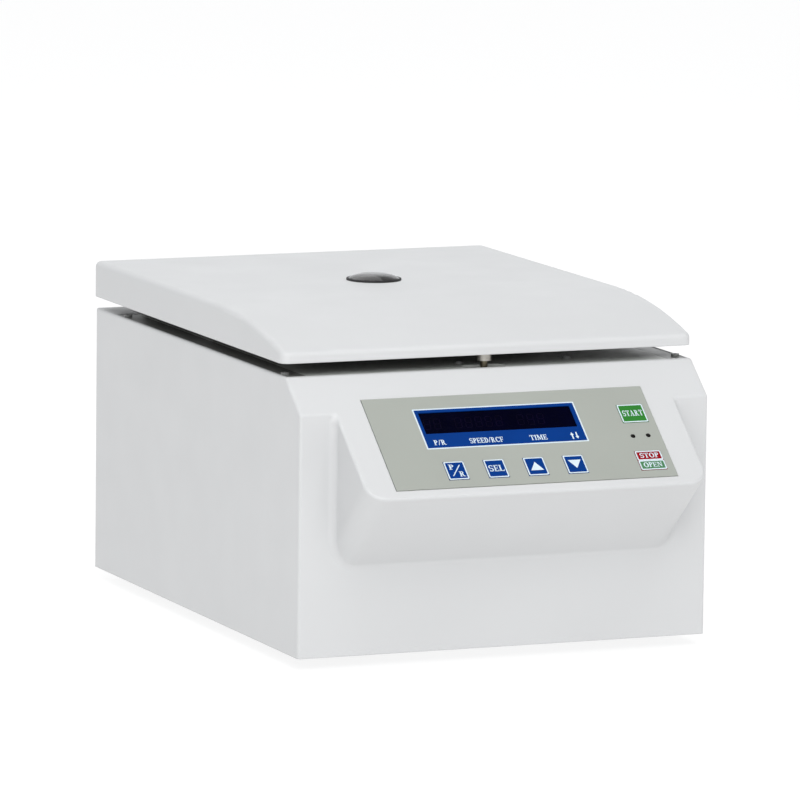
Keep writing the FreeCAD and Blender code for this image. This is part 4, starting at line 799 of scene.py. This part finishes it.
def key_pad(shape, x, y, width, length, top, fill):
    """Raised rim of pale print with a crowned coloured field inside."""
    rim = top + 0.06
    field = (width - 2 * BORDER, length - 2 * BORDER)
    shape.loops(
        [
            rounded(x, y, width - 0.06, length - 0.06, 1.0, top - 0.2),
            rounded(x, y, width - 0.06, length - 0.06, 1.0, top),
            rounded(x, y, width - 0.24, length - 0.24, 0.9, rim),
            rounded(x, y, field[0] + 0.1, field[1] + 0.1, 0.5, rim),
            rounded(x, y, field[0], field[1], 0.45, rim - 0.03),
            rounded(x, y, field[0] - 0.9, field[1] - 0.9, 0.4, rim + CROWN * 0.4),
            rounded(x, y, field[0] - 2.4, field[1] - 2.4, 0.6, rim + CROWN * 0.8),
            rounded(x, y, field[0] * 0.5, field[1] * 0.5, 0.8, rim + CROWN),
        ],
        [0, 0, 0, 0, fill, fill, fill, fill],
    )
    return rim + CROWN


def flanged(name):
    """Centre and size of a key's top, whose foot is wider than its head."""
    points = [vertex.co / MM - SHEET_CENTRE for vertex in nodes[name].data.vertices]
    top = max(point.dot(OUT) for point in points)
    head = [point for point in points if point.dot(OUT) > top - 0.05]
    xs = [point.dot(ACROSS) for point in head]
    ys = [point.dot(UPSLOPE) for point in head]
    return (min(xs) + max(xs)) / 2, (min(ys) + max(ys)) / 2, max(xs) - min(xs), max(ys) - min(ys), top


def triangle(x, y, width, height, direction):
    base = y - direction * height / 2
    corners = [(x - width / 2, base), (x + width / 2, base), (x, base + direction * height)]
    return corners if direction > 0 else corners[::-1]


def stroke(x0, y0, x1, y1, width):
    """Outline of a straight stroke between two points."""
    run = math.hypot(x1 - x0, y1 - y0)
    off_x = -(y1 - y0) / run * width / 2
    off_y = (x1 - x0) / run * width / 2
    one_side = [(x0 - off_x, y0 - off_y), (x1 - off_x, y1 - off_y)]
    return one_side + [(x1 + off_x, y1 + off_y), (x0 + off_x, y0 + off_y)]


def key_print(name, colours, marks):
    """Printed head of a key; marks draw on it once its size is known."""
    x, y, width, length, top = flanged(name)
    shape = Shape(on_console)
    parts = len(colours)
    share = length / parts
    for index in range(parts):
        part_y = y + (parts - 1) * share / 2 - index * share
        crown = key_pad(shape, x, part_y, width, share, top, index + 1)
    marks(shape, x, y, crown - 0.1, crown + 0.03)
    shape.make(name + "_print", [pale_print, *colours], name)


def program_marks(shape, x, y, low, high):
    shape.add(*word("P", x - 2.9, y + 3.0, 3.5, 4.7, low, high))
    shape.add(*word("R", x + 3.2, y - 3.4, 3.9, 4.7, low, high))
    shape.add(*plate(stroke(x - 3.7, y - 5.0, x + 3.5, y + 4.6, 0.7), low, high))


def select_marks(shape, x, y, low, high):
    shape.add(*word("SEL", x, y, 10.8, 5.6, low, high))


def up_marks(shape, x, y, low, high):
    shape.add(*plate(triangle(x, y, 9.4, 7.4, 1), low, high))


def down_marks(shape, x, y, low, high):
    shape.add(*plate(triangle(x, y, 9.4, 7.4, -1), low, high))


def start_marks(shape, x, y, low, high):
    shape.add(*word("START", x, y, 14.8, 5.2, low, high))


def stop_marks(shape, x, y, low, high):
    quarter = 4.25
    shape.add(*word("STOP", x, y + quarter, 13.6, 4.4, low, high))
    shape.add(*word("OPEN", x, y - quarter, 13.6, 4.4, low, high))


key_print("key_program", [blue_print], program_marks)
key_print("key_select", [blue_print], select_marks)
key_print("key_up", [blue_print], up_marks)
key_print("key_down", [blue_print], down_marks)
key_print("key_start", [green_print], start_marks)
key_print("key_stop", [red_print, open_print], stop_marks)

# ---- lamps ----
lamp_low, lamp_high = console_span("indicator_lamps", SHEET_CENTRE)
lamp_radius = (lamp_high.y - lamp_low.y) / 2
lamp_y = (lamp_high.y + lamp_low.y) / 2
rings = Shape(on_console)
domes = Shape(on_console)
for lamp_x in (lamp_low.x + lamp_radius, lamp_high.x - lamp_radius):
    lip = [(0.32, INK_LOW), (0.28, 0.10), (0.18, 0.14), (0.08, 0.10), (0.06, INK_LOW)]
    rings.loops([circle(lamp_x, lamp_y, lamp_radius + r, z, 40) for r, z in lip], [0], cap=False)
    bulge = [(1.0, -0.1), (1.0, 0), (0.88, 0.25), (0.6, 0.45), (0.25, 0.55)]
    domes.loops([circle(lamp_x, lamp_y, lamp_radius * r, lamp_high.z + rise, 40) for r, rise in bulge], [0])
rings.make("lamp_rings", [lamp_finish], "casing")
domes.make("lamp_lenses", [lamp_finish], "casing", sharp=60)

# ---- marks of the mains rocker ----
rocker_mesh = nodes["power_rocker"].data
rocker_faces = {}
for face in rocker_mesh.polygons:
    if face.normal.y < 0.95:
        continue
    key = tuple(round(value, 2) for value in face.normal)
    area, moment = rocker_faces.get(key, (0.0, Vector((0, 0, 0))))
    rocker_faces[key] = (area + face.area, moment + face.center * face.area)
rocker_halves = sorted(rocker_faces.items(), key=lambda item: -item[1][0])[:2]
rocker_halves.sort(key=lambda item: item[1][1].z / item[1][0])
for index, (normal, (area, moment)) in enumerate(rocker_halves):
    centre = moment / area
    outwards = Vector(normal).normalized()
    sideways = Vector((-1, 0, 0))
    upwards = outwards.cross(sideways)

    def on_rocker(point, centre=centre, sideways=sideways, upwards=upwards, outwards=outwards):
        return centre + (sideways * point[0] + upwards * point[1] + outwards * point[2]) * MM

    mark = Shape(on_rocker)
    if index:
        mark.add(*plate(bar(-0.35, -1.9, 0.35, 1.9), INK_LOW, LETTER_HIGH))
    else:
        section = [(2.0, INK_LOW), (2.0, LETTER_HIGH), (1.4, LETTER_HIGH), (1.4, INK_LOW)]
        mark.loops([circle(0, 0, radius, z, 40) for radius, z in section], [0], cap=False)
    mark.make(("rocker_off_mark", "rocker_on_mark")[index], [pale_print], "rocker")

# ---- domed window of the lid ----
lens_low, lens_high = span("viewing_window")
lens_x = (lens_low.x + lens_high.x) / 2
lens_y = (lens_low.y + lens_high.y) / 2
lens_radius = (lens_high.x - lens_low.x) / 2
lens_rise = lens_high.z - lens_low.z
lens_wall = 1.5
LENS_RINGS = 14


def dome(radius, rise, base):
    """Loops of a dome with full shoulders, from its edge towards its top."""
    loops = []
    for ring in range(LENS_RINGS):
        share = 1 - ring / LENS_RINGS
        loops.append(circle(lens_x, lens_y, radius * share, base + rise * (1 - share**3), 128))
    return loops


lens = Shape()
inside_dome = dome(lens_radius - lens_wall, lens_rise, lens_low.z - lens_wall * 0.6)
edge_round = [
    circle(lens_x, lens_y, lens_radius - 0.5, lens_low.z, 128),
    circle(lens_x, lens_y, lens_radius - 0.05, lens_low.z + 0.02, 128),
]
top_dome = dome(lens_radius - 0.06, lens_rise - 0.05, lens_low.z + 0.05)
lens.add(inside_dome[-1], [tuple(range(len(inside_dome[-1])))])
lens.loops(list(reversed(inside_dome)) + edge_round + top_dome, [0])
lens_piece = lens.make("window_lens", [smoked], "lid", sharp=50)
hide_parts("viewing_window")

# ---- rim of the window, rolled over the lid ----
rim_low, rim_high = span("window_grommet")
rim_radius = (rim_high.x - rim_low.x) / 2
lid_top = span("lid_shell")[1].z
bead = Shape()
section = []
BEAD_STEPS = 10
BEAD_INSET = 1.15
BEAD_HALF_WIDTH = 1.1
BEAD_SWELL = 1.35
bead_height = rim_high.z - lid_top
for step in range(BEAD_STEPS + 1):
    angle = math.pi * step / BEAD_STEPS
    bead_radius = rim_radius - BEAD_INSET + BEAD_HALF_WIDTH * math.cos(angle)
    section.append((bead_radius, lid_top + bead_height * BEAD_SWELL * math.sin(angle)))
bead.loops([circle(lens_x, lens_y, r, z, 128) for r, z in section], [0], cap=False)
bead.make("window_bead", [rim_rubber], "lid", sharp=60)

# ---- floor, light and camera ----
floor_mesh = bpy.data.meshes.new("floor")
reach = 14.0  # metres to each side
floor_corners = [(-reach, -reach, 0), (reach, -reach, 0), (reach, reach, 0), (-reach, reach, 0)]
floor_mesh.from_pydata(floor_corners, [], [(0, 1, 2, 3)])
floor = bpy.data.objects.new("floor", floor_mesh)
bpy.context.scene.collection.objects.link(floor)
floor_finish, _, _, floor_shader = shader_of("floor_white")
floor_shader.inputs["Base Color"].default_value = (0.2, 0.2, 0.2, 1)
floor_shader.inputs["Roughness"].default_value = 0.9
floor_shader.inputs["Emission Color"].default_value = (1, 1, 1, 1)
floor_shader.inputs["Emission Strength"].default_value = 0.82
floor_mesh.materials.append(floor_finish)

world = bpy.data.worlds.new("studio")
bpy.context.scene.world = world
world.use_nodes = True
world_nodes = world.node_tree.nodes
world_links = world.node_tree.links
background = world_nodes["Background"]
direction = world_nodes.new("ShaderNodeTexCoord").outputs["Generated"]
overhead = world_nodes.new("ShaderNodeVectorMath")
overhead.operation = "DOT_PRODUCT"
overhead.inputs[1].default_value = (0.38, 0.05, 0.92)
world_links.new(direction, overhead.inputs[0])
ceiling = world_nodes.new("ShaderNodeMapRange")
ceiling.interpolation_type = "SMOOTHSTEP"
ceiling.inputs["From Min"].default_value = 0.55
ceiling.inputs["From Max"].default_value = 0.92
ceiling.inputs["To Min"].default_value = 0.7
ceiling.inputs["To Max"].default_value = 0.35
world_links.new(overhead.outputs["Value"], ceiling.inputs["Value"])
glow = world_nodes.new("ShaderNodeVectorMath")
glow.operation = "DOT_PRODUCT"
glow.inputs[1].default_value = (0.384, 0.912, 0.147)
world_links.new(direction, glow.inputs[0])
backdrop = world_nodes.new("ShaderNodeMapRange")
backdrop.interpolation_type = "SMOOTHSTEP"
backdrop.inputs["From Min"].default_value = 0.86
backdrop.inputs["From Max"].default_value = 0.98
backdrop.inputs["To Min"].default_value = 0.0
backdrop.inputs["To Max"].default_value = 0.5
world_links.new(glow.outputs["Value"], backdrop.inputs["Value"])
strength = math_node(world_nodes, world_links, "ADD", ceiling.outputs["Result"], backdrop.outputs["Result"])
world_links.new(strength, background.inputs["Strength"])
background.inputs["Color"].default_value = (0.97, 0.985, 1.0, 1)


def soft_light(name, place, size, watts, target):
    """Square area lamp aimed at a point; places in metres."""
    lamp = bpy.data.lights.new(name, "AREA")
    lamp.size = size
    lamp.energy = watts
    holder = bpy.data.objects.new(name, lamp)
    bpy.context.scene.collection.objects.link(holder)
    holder.location = place
    holder.rotation_euler = (Vector(target) - Vector(place)).to_track_quat("-Z", "Y").to_euler()


middle = Vector((0, 0, 0.12))
soft_light("key_light", (-1.3, -2.6, 1.47), 2.4, 30, middle)
soft_light("front_light", (0, -2.06, 2.57), 2.4, 24, middle)
soft_light("top_light", (0, -0.56, 3.27), 2.4, 24, middle)
soft_light("back_light", (0, 2.06, 2.57), 2.4, 12, middle)

azimuth = math.radians(-22.825)
elevation = math.radians(8.442)
roll = math.radians(0.696)
look_at = Vector((0, 14.947, 120.0)) * MM
shift_right = -1.567 * MM
shift_up = 30.904 * MM
distance = 5171.3 * MM
back = Vector(
    (
        math.sin(azimuth) * math.cos(elevation),
        -math.cos(azimuth) * math.cos(elevation),
        math.sin(elevation),
    )
)
level_right = Vector((math.cos(azimuth), math.sin(azimuth), 0))
level_up = back.cross(level_right)
camera_right = math.cos(roll) * level_right + math.sin(roll) * level_up
camera_up = math.cos(roll) * level_up - math.sin(roll) * level_right
camera_data = bpy.data.cameras.new("camera")
camera_data.sensor_width = 36
camera_data.lens = 333.75
camera_data.clip_start = 0.1
camera_data.clip_end = 100
camera = bpy.data.objects.new("camera", camera_data)
bpy.context.scene.collection.objects.link(camera)
turn = Matrix((camera_right, camera_up, back)).transposed().to_4x4()
place = look_at + shift_right * camera_right + shift_up * camera_up + distance * back
camera.matrix_world = Matrix.Translation(place) @ turn
bpy.context.scene.camera = camera
bpy.context.scene.view_settings.view_transform = "Standard"
